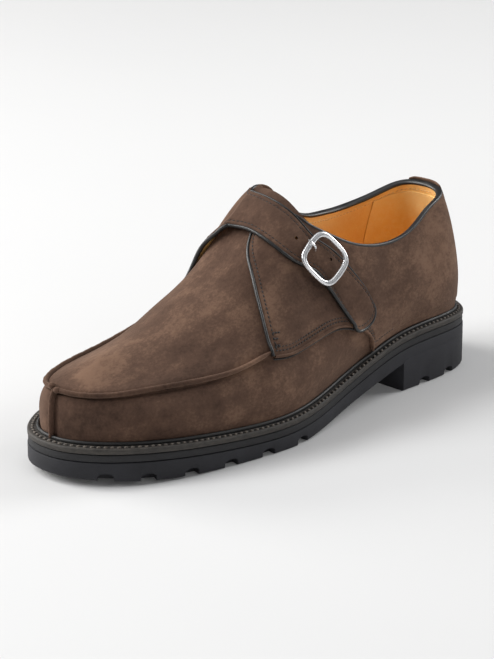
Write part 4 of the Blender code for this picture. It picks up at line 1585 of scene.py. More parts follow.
STRAP_FRONT = (
    (31, 0.272), (26, 0.354), (21, 0.44), (12, 0.545), (1.7, 0.626), (-2.3, 0.689),
    (-4.3, 0.772), (-4.8, 0.836), (-5.3, 0.903), (-7.2, 1), (-9.3, 1.07), (-12.2, 1.132),
    (-15.2, 1.19), (-19.5, 1.28), (-24, 1.38), (-27.5, 1.48), (-29.5, 1.6),
)
STRAP_REAR = (
    (49, 0.262), (45.5, 0.35), (39.5, 0.44), (29, 0.548), (19, 0.63), (16.5, 0.676),
    (14.7, 0.741), (13.5, 0.81), (13, 0.9), (13.1, 1), (14.2, 1.08), (17, 1.15),
    (22, 1.21),
)


# ================================================================ the upper
@dataclass
class Upper:
    """Vamp, apron and back as one shell: suede outside, tan lining inside, seams standing up."""

    suede: float = 0.9
    lining: float = 0.9
    throat: float = -58.0
    tongue_feet: Pair = (-24.0, 8.0)
    tongue_drop: float = 0.33
    steps: tuple[int, int, int, int] = (64, 36, 26, 84)
    rows: int = 60
    apron_rise: float = 0.8
    apron_fade: float = 15.0
    apron_end: Pair = (-40.0, -26.0)
    beside_seam: float = 2.1
    quarter_groove: Pair = (0.9, 1.2)
    apron_seam: Pair = (2.5, 3.6)
    apron_seam_lift: float = 1.2
    apron_seam_ends: Pair = (0.9, 0.35)
    toe_seam: Pair = (2.6, 3.6)
    toe_seam_lift: float = 1.25
    knot_place: Pair = (0.0, 0.415)
    knot_lift: float = 2.3
    knot_lobes: tuple[tuple[Triple, Triple], ...] = (
        ((-2.1, 0.2, 0.9), (4.4, 4.0, 3.6)), ((2.0, 0.0, -0.5), (4.2, 3.8, 3.4)),
    )
    facing: Pair = (2.6, 2.7)
    creases: tuple[Crease, ...] = (
        Crease(-27, 0.60, 62, 30, 6.5, -0.9), Crease(-42, 0.72, 70, 16, 7, 0.35),
        Crease(-60, 0.62, 40, 18, 7, -0.35), Crease(-78, 0.80, 55, 16, 8, 0.3),
        Crease(-96, 0.60, 20, 16, 9, -0.3), Crease(-52, 1.20, 60, 20, 8, -0.4),
        Crease(-84, 1.25, 50, 16, 8, 0.3), Crease(-70, 0.22, 8, 26, 7, -0.45),
        Crease(-28, 0.20, -6, 22, 7, -0.4), Crease(-106, 0.24, 4, 16, 7, 0.35),
        Crease(10, 0.18, 4, 20, 7, 0.35), Crease(19.5, 1.02, 90, 22, 6, 0.3),
        Crease(-60, 1.78, 6, 26, 7, -0.45), Crease(-10, 1.80, 6, 24, 7, -0.4),
    )

    def places(self, topline: Rows) -> Array:
        """Return the grid of one side.

        Args:
            topline: The side's edge of the opening, behind the throat; in front of it the grid
                climbs to the ridge.

        Returns:
            Places, rows from the toe to the heel and columns from the feather line up.
        """
        before_throat, over_instep, beside_tongue, behind = self.steps
        feather = 0.0 if topline is TOPLINE_OUTER else 2.0
        throat, tongue = LAST.along_at([self.throat, topline[0][0]])
        foot = (throat, *LAST.along_at(self.tongue_feet), 1.0)
        lean = np.array([(along, feather) for along in foot])
        climb = np.linspace(0, 1, self.rows)
        near = LAST.in_sections(
            (lean[:2], over_instep), (lean[1:3], beside_tongue), (lean[2:], behind)
        )
        rim = LAST.pattern(topline, 400)
        corner = int(np.argmax(np.abs(rim[:, 1] - 1) >= self.tongue_drop))
        instep = np.array([(throat, 1.0), (tongue, 1.0)])
        far = LAST.in_sections(
            (instep, over_instep), (rim[:corner + 1], beside_tongue), (rim[corner:], behind)
        )
        start = near[0] + (far[0] - near[0]) * climb[:, None]
        end = near[-1] + (far[-1] - near[-1]) * climb[:, None]
        rear = fill(start, end, near, far, climb)
        front = np.repeat(start[None], before_throat, axis=0)
        front[..., 0] = throat * np.linspace(0, 1, before_throat + 1)[:-1, None] ** 1.5
        return np.concatenate([front, rear])

    @staticmethod
    def above(along: Array, girth: Array, rows: Rows) -> Array:
        """Return how many mm of girth each place lies above a pattern line."""
        return (girth - LAST.girth_at(rows, along)) * LAST.instep_height

    def lift(self, places: Array) -> Array:
        """Return how far the suede stands off the last.

        Args:
            places: Grid of places.

        Returns:
            Lift in mm: the fuller apron, the leather pinched beside the seams, the creases.
        """
        along, girth = places[..., 0], places[..., 1]
        above = self.above(along, np.minimum(girth, 2 - girth), APRON_SEAM)
        ahead = 1 - smooth_step(along, *LAST.along_at(self.apron_end))
        fuller = smooth_step(above, -1.0, 1.0) * (1 - smooth_step(above, 0.5, self.apron_fade))
        pinched = dent(above + self.beside_seam, (1.0, 1.8))
        pinched = pinched + dent(above - self.beside_seam, (0.5, 1.4))
        below_apron = 1 - smooth_step(above, -3.0, -0.5)
        beside_toe = dent(along * LAST.length - 2.0, (0.5, 1.8)) * below_apron
        below = self.above(along, girth, QUARTER_BOTTOM)
        start, full, fade, end = LAST.along_at([QUARTER_BOTTOM[row][0] for row in (0, 1, 5, 6)])
        beside_quarter = smooth_step(along, start, full) * (1 - smooth_step(along, fade, end))
        return (
            (fuller * self.apron_rise + pinched) * ahead + beside_toe
            + dent(below + 1.9, self.quarter_groove) * beside_quarter + relief(places, self.creases)
        )

    def shell(self, name: str, lift: float, thickness: float) -> Piece:
        """Make a shell of both sides, closed along the front and over the toe.

        Args:
            name: Name of the piece.
            lift: How far its face stands off the upper's own face.
            thickness: Thickness of its wall in mm.

        Returns:
            The piece.
        """
        sides = []
        for topline in (TOPLINE_OUTER, TOPLINE_INNER):
            places = self.places(topline)
            sides.append(LAST.skin(places, self.lift(places) + lift))
        loop = np.concatenate([sides[0], sides[1][-2:0:-1], sides[0][:1]])
        return Bench.thicken(Bench.merge(Bench.sheet(name, loop)), thickness)

    @staticmethod
    def seam_line(inner: bool) -> Array:
        """Return the places of the apron seam on one side, from the toe backwards.

        Args:
            inner: Whether it is the inner side.

        Returns:
            The line of places.
        """
        rows = APRON_SEAM + (QUARTER_BOTTOM[0],)
        if inner:
            rows = [(station, 2 - girth) for station, girth in rows]
        line = LAST.pattern(rows, 150)
        line[0, 0] = 0.0
        return line

    def seams(self) -> list[Piece]:
        """Return the raised apron seam of both sides, and the toe seam, each a little uneven.

        Returns:
            The three pieces.
        """
        profile = oval(*self.apron_seam, 14, 2.3)
        made = []
        for inner in (False, True):
            line, normals = on_last(self.seam_line(inner)[:-3], self.apron_seam_lift)
            wave = 0.06 * np.sin(lengths(line) / 1.9) + 0.04 * np.sin(lengths(line) / 0.83)
            made.append(Bench.rolled(
                f"apron_seam_{'inner' if inner else 'outer'}", line + normals * wave[:, None],
                normals, profile, ends=self.apron_seam_ends, taper=9.0,
            ))
        steps = 60
        climb = np.column_stack([np.zeros(steps), np.linspace(0.005, 0.418, steps)])
        wave = 0.12 * np.sin(np.arange(steps) * 1.1)
        lift = self.toe_seam_lift + wave
        made.append(roll("toe_seam", climb, lift, oval(*self.toe_seam), ends=(0.8, 1.0), taper=5.0))
        return made

    def knot(self) -> Piece:
        """Return the knot in which the apron seams and the toe seam meet.

        Returns:
            The piece.
        """
        middle = LAST.skin(np.array(self.knot_place), self.knot_lift)
        lobes = []
        for shift, size in self.knot_lobes:
            lobe = Bench.add(
                "lobe", bpy.ops.mesh.primitive_uv_sphere_add, segments=20, ring_count=12, radius=0.5
            )
            spot = Matrix.Translation(Vector(middle + np.asarray(shift)) * MM)
            lobe.data.transform(spot @ Matrix.Diagonal((*(s * MM for s in size), 1.0)))
            lobes.append(lobe)
        return Bench.shade(Bench.join("seam_knot", lobes), 60)

    def build(self) -> None:
        """Make and dress the pieces of the upper."""
        skin = Bench.shade(self.shell("upper_suede", 0.0, self.suede))
        RACK.dress(skin, Finish.SUEDE, "upper")
        lining = self.shell("upper_lining", -self.suede - 0.02, self.lining)
        RACK.dress(Bench.shade(lining), Finish.LINING)
        rim = LAST.pattern(TOPLINE_INNER[:5], 60) + (0, 0.008)
        facing = roll("throat_facing", rim, -self.suede, oval(*self.facing))
        for piece in (*self.seams(), self.knot(), facing):
            RACK.dress(piece, Finish.SUEDE)


@dataclass
class OuterQuarter:
    """Quarter of the buckle side: piped in front, seamed to the side wall below."""

    thickness: float = 1.3
    top: float = 1.5
    grid: tuple[int, int] = (190, 70)
    piping_size: Pair = (1.75, 2.1)
    bead_drop: float = 0.55
    bead_raised: Pair = (2.0, 9.0)
    seam: Pair = (1.6, 3.2)
    seam_drop: float = 0.2
    under_strap: Triple = (32.0, 9.0, 1.3)   # station, reach and depth of the pressed seam
    # dark cord that paints the shadow line under the lower seam: its size, and how far below the
    # seam it runs
    seam_shadow_line: Pair = (0.85, 0.7)
    shadow_line_below: float = 1.35
    rolled_edge: Pair = (0.7, 1.1)
    front_row: float = 3.4
    front_channel: Pair = (0.35, 0.8)
    bottom_rows: Pair = (2.9, 4.9)
    bottom_channel: Pair = (0.3, 0.7)
    stitches: Stitching = Stitching()
    stay: tuple[Pair, ...] = ((12.6, 5.2), (8.8, 3.2), (5.6, 2.6))
    stay_channel: Pair = (0.5, 0.7)
    stay_stitches: Stitching = Stitching(1.7, 1.6, 1.05, 0.9, 20)
    creases: tuple[Crease, ...] = (
        Crease(6, 0.46, 60, 16, 8, -1), Crease(-8, 0.56, 62, 20, 6, 0.45),
        Crease(64, 0.30, 66, 16, 8, -0.5), Crease(88, 0.27, 62, 18, 8, 0.45),
        Crease(104, 0.33, 66, 18, 8, -0.45), Crease(72, 0.16, 10, 20, 6, 0.3),
    )

    def panel(self) -> Panel:
        """Return the quarter's grid: rows from the front edge to the back seam.

        Returns:
            The grid.
        """
        lengthwise, across = self.grid
        shares = crowded(across)
        front = self.spaced(LAST.pattern(QUARTER_FRONT, 200), shares)
        shoulder = LAST.pattern(QUARTER_TOP + TOPLINE_OUTER[6:], 400)
        shoulder[-1, 0] = 1.0
        foot = np.array([[1.0, 0.01]])
        lower = LAST.joined(LAST.pattern(QUARTER_BOTTOM, 200), foot, count=lengthwise)
        back = self.spaced(np.vstack([foot, shoulder[-1:]]), shares)
        upper = LAST.joined(shoulder, count=lengthwise)
        return Panel(fill(front, back, lower, upper, shares))

    @staticmethod
    def spaced(line: Array, shares: Array) -> Array:
        """Return places at given shares of a line's length."""
        run = lengths(line * LAST.metric)
        return read_off(shares * run[-1], run, line)

    def rows(self, panel: Panel) -> list[Array]:
        """Return the lines of places of the rows of stitches.

        Args:
            panel: The quarter's grid.

        Returns:
            One line for the front and one for each row below.
        """
        made = [trimmed(panel.beside("start", self.front_row), 3.0, 4.0)]
        for offset in self.bottom_rows:
            line = panel.beside("near", offset)
            made.append(trimmed(line[line[:, 1] > 0.07], 1.5, 0.0))
        return made

    def tack(self, panel: Panel) -> list[Array]:
        """Return the short rows of the stay that holds the lower front corner.

        Args:
            panel: The quarter's grid.

        Returns:
            One line of places for each row.
        """
        made = []
        for height, reach in self.stay:
            here = panel.spot(self.front_row, height)
            there = panel.spot(self.front_row + reach, height)
            made.append(here + (there - here) * np.linspace(0, 1, 20)[:, None])
        return made

    def face(self, panel: Panel) -> Array:
        """Return the lift of the suede.

        Args:
            panel: The quarter's grid.

        Returns:
            Lift in mm, with the rolled edge, the creases, and a channel under each row of stitches.
        """
        lift = self.top + relief(panel.places, self.creases)
        lift = lift + dent(panel.start, self.rolled_edge)
        lift = lift + dent(panel.start - self.front_row, self.front_channel)
        for offset in self.bottom_rows:
            channel = dent(panel.near - offset, self.bottom_channel)
            lift = lift + channel * smooth_step(panel.start, 1, 4)
        lift = lift + 0.25 * hill(np.minimum(panel.start, panel.near) - 6.0, 3.0)
        for height, reach in self.stay:
            end = self.front_row + reach
            ahead = smooth_step(panel.start, self.front_row - 0.8, self.front_row)
            behind = 1 - smooth_step(panel.start, end, end + 0.8)
            lift = lift + dent(panel.near - height, self.stay_channel) * ahead * behind
        return lift

    def piping(self) -> Piece:
        """Return the bead along the front edge, which stands up near the lower corner.

        Returns:
            The piece.
        """
        front = LAST.pattern(QUARTER_FRONT + QUARTER_TOP[1:], 160)
        raised = 1 - smooth_step(lengths(front * LAST.metric), *self.bead_raised)
        lift = self.top - self.bead_drop + raised
        return roll("outer_quarter_piping", front, lift, oval(*self.piping_size))

    def lower_seam(self) -> Piece:
        """Return the ridge of the lower edge, pressed down under the strap.

        Returns:
            The piece.
        """
        lower = LAST.pattern(QUARTER_BOTTOM, 150)[2:]
        station, reach, depth = self.under_strap
        pressed = hill((lower[:, 0] - LAST.along_at(station)) * LAST.length, reach)
        lift = self.top - self.seam_drop - depth * pressed
        section = oval(*self.seam, 12, 2.5)
        return roll("outer_quarter_seam", lower, lift, section, ends=(0.8, 0.8), taper=4.0)

    def lower_shadow_line(self) -> Piece:
        """Return the dark cord in the groove below the seam, which paints the seam's shadow line.

        Returns:
            The piece.
        """
        seam = LAST.pattern(QUARTER_BOTTOM, 150) * LAST.metric
        ahead = unit(np.gradient(seam, axis=0))
        below = seam + self.shadow_line_below * np.stack([ahead[:, 1], -ahead[:, 0]], axis=1)
        line = (below / LAST.metric)[2:108]
        return roll("outer_quarter_seam_shadow_line", line, 0.05, oval(*self.seam_shadow_line, 8))

    def build(self) -> None:
        """Make and dress the quarter, its piping, its lower seam and its stitches."""
        panel = self.panel()
        quarter = Bench.shade(panel.lay("outer_quarter_suede", self.face(panel), self.thickness))
        RACK.dress(quarter, Finish.SUEDE, "outer_quarter")
        RACK.dress(self.piping(), Finish.PIPING)
        RACK.dress(self.lower_seam(), Finish.SUEDE)
        # painted shadow: the dark cord laid under the lower seam
        RACK.dress(self.lower_shadow_line(), Finish.THREAD)
        rows = [on_last(line, self.top - 0.08) for line in self.rows(panel)]
        RACK.dress(self.stitches.sew("outer_quarter_stitches", rows), Finish.THREAD)
        rows = [on_last(line, self.top) for line in self.tack(panel)]
        RACK.dress(self.stay_stitches.sew("corner_stay_stitches", rows), Finish.THREAD)


@dataclass
class Strap:
    """Inner quarter that runs over the instep as the strap and ends in a rounded tip."""

    steps: tuple[int, int, int] = (110, 44, 110)
    across: int = 52
    tip_bulge: float = 0.052
    tip_power: float = 2.3
    tip_slide: Pair = (46.0, 9.0)
    under: float = 0.2
    over_quarter: float = 1.75
    thickness: Pair = (1.3, 2.4)
    hump: float = 1.3
    hump_reach: Pair = (3.0, 13.0)
    gape: float = 3.2
    gape_girths: tuple[float, float, float, float] = (0.93, 1.1, 1.2, 1.42)
    gape_depth: float = 15.0
    instep_end: float = 1.42
    suede: float = 1.25
    lining: float = 0.9
    rolled_edge: Pair = (0.8, 1.0)
    corner_drop: Pair = (1.2, 2.6)
    row: float = 2.9
    channel: Pair = (0.32, 0.7)
    stitches: Stitching = Stitching(2.5, 1.9, 0.6, 0.5, 6)
    hole: float = 1.0
    holes: tuple[Pair, ...] = ((8.6, 0.666), (16.4, 0.6), (24.5, 0.533))
    punch: Pair = (3.4, 6.5)
    front_bead: Pair = (1.9, 2.5)
    rear_bead: Pair = (1.25, 2.1)
    bead_drop: float = 1.15
    seam: Pair = (2.1, 2.5)
    seam_lift: float = 0.9
    creases: tuple[Crease, ...] = (
        Crease(-2, 0.80, -8, 10, 5, -0.35), Crease(6, 0.96, -20, 14, 5, 0.3),
        Crease(34, 0.40, 60, 12, 6, -0.3), Crease(2, 1.55, -60, 20, 8, -0.5),
        Crease(60, 1.72, -62, 18, 8, -0.5), Crease(84, 1.74, -64, 18, 8, 0.4),
        Crease(102, 1.70, -66, 18, 8, -0.4),
    )

    @staticmethod
    def lower_edge() -> Rows:
        """Return the lower edge of the inner quarter, which mirrors the outer one's."""
        return [STRAP_FRONT[-1]] + [(station, 2 - girth) for station, girth in QUARTER_BOTTOM[1:]]

    def panel(self) -> Panel:
        """Return the grid from the strap's tip to the back seam.

        Returns:
            The grid.
        """
        over_strap, over_instep, along_quarter = self.steps
        shares = crowded(self.across)
        front, instep_front = self.parted(LAST.pattern(STRAP_FRONT, 500), 1.0)
        foot = np.array([[1.0, 1.99]])
        quarter = np.vstack([LAST.pattern(self.lower_edge(), 200), foot])
        near = LAST.in_sections(
            (front, over_strap), (instep_front, over_instep), (quarter, along_quarter)
        )
        rear, behind = self.parted(LAST.pattern(STRAP_REAR + TOPLINE_INNER[3:], 800), 1.0)
        instep_rear, collar = self.parted(behind, self.instep_end)
        collar[-1, 0] = 1.0
        far = LAST.in_sections(
            (rear, over_strap), (instep_rear, over_instep), (collar, along_quarter)
        )
        tip = near[0] + (far[0] - near[0]) * shares[:, None]
        back = near[-1] + (far[-1] - near[-1]) * shares[:, None]
        return Panel(self.rounded(fill(tip, back, near, far, shares), shares))

    def rounded(self, places: Array, shares: Array) -> Array:
        """Push the straight end of the grid out into the round tip.

        Args:
            places: The strap's grid.
            shares: Share of the way across at each column.

        Returns:
            The grid with its tip.
        """
        power = self.tip_power
        bulge = self.tip_bulge * (1 - np.abs(2 * shares - 1) ** power) ** (1 / power)
        drop = np.stack([np.zeros_like(bulge), -bulge], axis=1) * LAST.metric
        middle = places[:, len(shares) // 2] * LAST.metric
        heading = unit(middle[0] - middle[20])
        ahead = (drop @ heading)[:, None] * heading
        run = lengths(middle)[:, None, None]
        slide = ahead * (1 - smooth_step(run, 0, self.tip_slide[0]))
        slide = slide + (drop - ahead) * (1 - smooth_step(run, 0, self.tip_slide[1]))
        return places + slide / LAST.metric

    @staticmethod
    def parted(line: Array, girth: float) -> tuple[Array, Array]:
        """Return a line of places in two pieces: up to a girth and from there on."""
        corner = int(np.argmax(line[:, 1] >= girth))
        return line[:corner + 1], line[corner:]

    @staticmethod
    def on_strap(places: Array) -> Array:
        """Return 1 on the strap, 0 on the inner quarter and a climb between."""
        return 1 - smooth_step(places[..., 1], 0.98, 1.14)

    def top(self, panel: Panel) -> Array:
        """Return how far the strap's face lies outside the last.

        Args:
            panel: The strap's grid.

        Returns:
            Lift in mm: over the quarter, humped at the buckle and gaping over the instep.
        """
        places = panel.places
        on_strap = self.on_strap(places)
        middle = LAST.point(LAST.along_at(Buckle.place[0]), Buckle.place[1])
        away = np.linalg.norm(LAST.point(places[..., 0], places[..., 1]) - middle, axis=-1)
        start, full, fade, end = self.gape_girths
        girth = places[..., 1]
        open_here = smooth_step(girth, start, full) * (1 - smooth_step(girth, fade, end))
        low = (
            self.under + self.over_quarter * on_strap
            + self.hump * (1 - smooth_step(away, *self.hump_reach))
            + self.gape * open_here * (1 - smooth_step(panel.near, 0.0, self.gape_depth))
        )
        thin, thick = self.thickness
        return low + thin + (thick - thin) * on_strap

    def relieved(self, panel: Panel, top: Array) -> Array:
        """Return the face with its rolled edges, sewn channel, fullness and creases.

        Args:
            panel: The strap's grid.
            top: Lift of the plain face.

        Returns:
            Lift in mm.
        """
        to_front = np.minimum(panel.near, panel.start)
        edge = np.minimum(to_front, panel.far)
        lift = top + relief(panel.places, self.creases) + dent(edge, self.rolled_edge)
        lift = lift + dent(np.hypot(panel.start, panel.near), self.corner_drop)
        sewn = np.where(self.on_strap(panel.places) > 0.5, edge, to_front)
        lift = lift + dent(sewn - self.row, self.channel)
        return lift + 0.3 * smooth_step(edge, self.row + 0.6, 9.0) * self.on_strap(panel.places)

    def border(self, panel: Panel) -> tuple[Array, Array]:
        """Follow the edge of the strap.

        Args:
            panel: The strap's grid.

        Returns:
            Places up the front edge, round the tip and back along the rear edge, and the lift
            of the strap's face there.
        """
        top = self.top(panel)
        rear_end = int(np.argmax(panel.places[:, -1, 1] > 1.36))
        foot = self.steps[0] + self.steps[1]
        places = np.vstack([
            panel.places[foot::-1, 0], panel.places[0, 1:], panel.places[1:rear_end, -1]
        ])
        lift = np.concatenate([top[foot::-1, 0], top[0, 1:], top[1:rear_end, -1]])
        run = lengths(LAST.point(places[:, 0], places[:, 1]))
        where = np.linspace(0, run[-1], 620)
        return read_off(where, run, places), np.interp(where, run, lift)

    def piping(self, panel: Panel) -> Piece:
        """Return the bead round the strap, thick in front and thin behind.

        Args:
            panel: The strap's grid.

        Returns:
            The piece.
        """
        line, lift = self.border(panel)
        points, normals = on_last(line, lift - self.bead_drop)
        tip = panel.places[0, -1]
        turn = int(np.argmin(np.linalg.norm((line - tip) * LAST.metric, axis=1)))
        front, rear = slice(turn + 6), slice(turn - 2, None)
        beads = [
            Bench.rolled("bead", points[part], normals[part], oval(*size))
            for part, size in ((front, self.front_bead), (rear, self.rear_bead))
        ]
        return Bench.join("strap_piping", beads)

    def rows(self, panel: Panel, face: Array) -> list[Line]:
        """Return the row of stitches inside the piping, from the inner quarter round the tip.

        Args:
            panel: The strap's grid.
            face: Lift of the strap's face.

        Returns:
            The row, as its points in mm and the normals there.
        """
        near, tip, far = [panel.beside(edge, self.row) for edge in ("near", "start", "far")]
        near_run, tip_run, far_run = [lengths(LAST.point(*line.T)) for line in (near, tip, far)]
        near = near[near_run > self.row]
        tip = tip[(tip_run > self.row) & (tip_run < tip_run[-1] - self.row)]
        far = far[(far_run > self.row) & (far[:, 1] < 1.34)]
        line = np.vstack([near[::-1], tip, far])
        line = line[line[:, 1] < 1.93]
        grid = panel.places.reshape(-1, 2) * LAST.metric
        nearest = [np.argmin(((grid - place) ** 2).sum(axis=1)) for place in line * LAST.metric]
        return [on_last(line, face.ravel()[nearest] + 0.05)]

    def punched(self, strap: Piece) -> Piece:
        """Punch the holes of the strap.

        Args:
            strap: The strap or its lining.

        Returns:
            The same piece.
        """
        lift, depth = self.punch
        for station, girth in self.holes:
            base, normal = on_last(np.array([[LAST.along_at(station), girth]]), lift)
            Bench.subtract(strap, Bench.post("punch", base[0], normal[0], self.hole, depth))
        return strap

    def build(self) -> None:
        """Make and dress the strap, its lining, its piping and its stitches."""
        panel = self.panel()
        top = self.top(panel)
        face = self.relieved(panel, top)
        strap = self.punched(panel.lay("strap_suede", face, self.suede))
        RACK.dress(Bench.shade(strap), Finish.SUEDE, "inner_quarter_strap")
        end = int(np.argmax(panel.places[:, 0, 1] > 1.5))
        sheet = LAST.skin(panel.places[1:end, 2:-2], top[1:end, 2:-2] - self.suede - 0.05)
        lining = Bench.thicken(Bench.sheet("strap_lining", facing_out(sheet)), self.lining)
        RACK.dress(Bench.shade(self.punched(lining)), Finish.LINING)
        RACK.dress(self.piping(panel), Finish.PIPING)
        stitches = self.stitches.sew("strap_stitches", self.rows(panel, face))
        RACK.dress(stitches, Finish.THREAD)
        lower = LAST.pattern(self.lower_edge(), 150)
        section = oval(*self.seam, 12, 2.3)
        RACK.dress(roll(
            "inner_quarter_seam", lower, self.seam_lift, section, ends=(0.7, 0.8), taper=5.0
        ), Finish.SUEDE)


@dataclass
class Collar:
    """Bound edge of the opening, with the tab at the back and the seams inside it."""

    binding: Pair = (2.3, 3.9)
    binding_lift: float = -0.15
    row: float = 3.6
    tab_reach: float = 0.957
    tab_top: float = 0.016
    tab_bottom: Pair = (0.20, 0.10)
    tab_lift: float = 2.75
    tab_thickness: float = 1.1
    grip_reach: float = 0.865
    grip_top: float = 0.045
    grip_bottom: float = 0.10
    grip_lift: float = -1.86
    grip_thickness: float = 0.5
    stitches: Stitching = Stitching(2.6, 2.0, 0.6, 0.5, 6)
    stitches_lift: float = -1.82
    back_seam: Pair = (1.7, 1.1)
    back_seam_lift: float = 1.35

    @staticmethod
    def edges() -> tuple[Array, Array]:
        """Return the places of the bound edge: outer side to the back, and back to inner side.

        Returns:
            The two lines of places.
        """
        outer = LAST.pattern(QUARTER_TOP[1:] + TOPLINE_OUTER[6:], 300)
        inner = LAST.pattern(TOPLINE_INNER[4:], 300)
        outer[-1, 0] = inner[-1, 0] = 1.0
        return LAST.joined(outer, count=260), LAST.joined(inner, count=260)[::-1]

    def ring(self, drop: float, lift: float) -> Line:
        """Return a line that follows the bound edge round the back.

        Args:
            drop: Girth by which it runs below the edge.
            lift: Distance from the last in mm.

        Returns:
            Its points in mm and the normals there.
        """
        outer, inner = self.edges()
        return on_last(np.vstack([outer[:-1] - (0, drop), inner + (0, drop)]), lift)

    @staticmethod
    def around_back(along: Array, bottom: Array, top: Array, lift: float, columns: int) -> Array:
        """Lay a grid of points round the back, between two heights.

        Args:
            along: `along` of each step from the side to the back.
            bottom: Girth of the lower edge at each step.
            top: Girth of the upper edge at each step.
            lift: Distance from the last in mm.
            columns: Points up the grid.

        Returns:
            Points in mm, rows from the outer side to the inner side.
        """
        girth = bottom[:, None] + (top - bottom)[:, None] * np.linspace(0, 1, columns)
        along = np.repeat(along[:, None], columns, axis=1)
        outer = LAST.skin(np.stack([along, girth], axis=-1), lift)
        inner = LAST.skin(np.stack([along, 2 - girth], axis=-1), lift)
        middle = (outer[-1:] + inner[-1:]) / 2
        return np.concatenate([outer[:-1], middle, inner[-2::-1]])

    @staticmethod
    def edge_girth(along: Array) -> Array:
        """Return the girth of the opening's edge on the outer side."""
        return LAST.girth_at(TOPLINE_OUTER[6:], along)

    def tab(self) -> Piece:
        """Return the tab that lies on the back of the collar and stands a little above its edge.

        Returns:
            The piece.
        """
        share = np.linspace(0, 1, 26)
        along = np.linspace(self.tab_reach, 1.0, len(share))
        top = self.edge_girth(along) + self.tab_top * smooth_step(share, -0.2, 0.35)
        side, middle = self.tab_bottom
        bottom = self.edge_girth(along) - middle - (side - middle) * smooth_step(share, 0.0, 0.9)
        sheet = Bench.sheet("heel_tab", self.around_back(along, bottom, top, self.tab_lift, 24))
        return Bench.shade(Bench.ease(Bench.thicken(sheet, self.tab_thickness), 0.3))

    def grip(self) -> Piece:
        """Return the soft patch that lines the back of the heel.

        Returns:
            The piece.
        """
        along = np.linspace(self.grip_reach, 1.0, 60)
        top = self.edge_girth(along) - self.grip_top
        bottom = np.full(len(along), self.grip_bottom)
        sheet = Bench.sheet("heel_grip", self.around_back(along, bottom, top, self.grip_lift, 40))
        return Bench.shade(Bench.thicken(sheet, self.grip_thickness))

    def build(self) -> None:
        """Make and dress the binding, the tab, the heel grip and the stitches."""
        section = oval(*self.binding, 16, 2.6)
        edge = self.ring(0.0, self.binding_lift)
        RACK.dress(Bench.rolled("collar_binding", *edge, section), Finish.PIPING)
        RACK.dress(self.tab(), Finish.SUEDE)
        RACK.dress(self.grip(), Finish.GRIP)
        inside, out = self.ring(self.row / LAST.instep_height, self.stitches_lift)
        RACK.dress(self.stitches.sew("lining_stitches", [(inside, -out)]), Finish.PALE_THREAD)
        back = np.column_stack([np.ones(60), np.linspace(0.01, 0.43, 60)])
        seam = roll("back_seam", back, self.back_seam_lift, oval(*self.back_seam, 10))
        RACK.dress(seam, Finish.SUEDE)


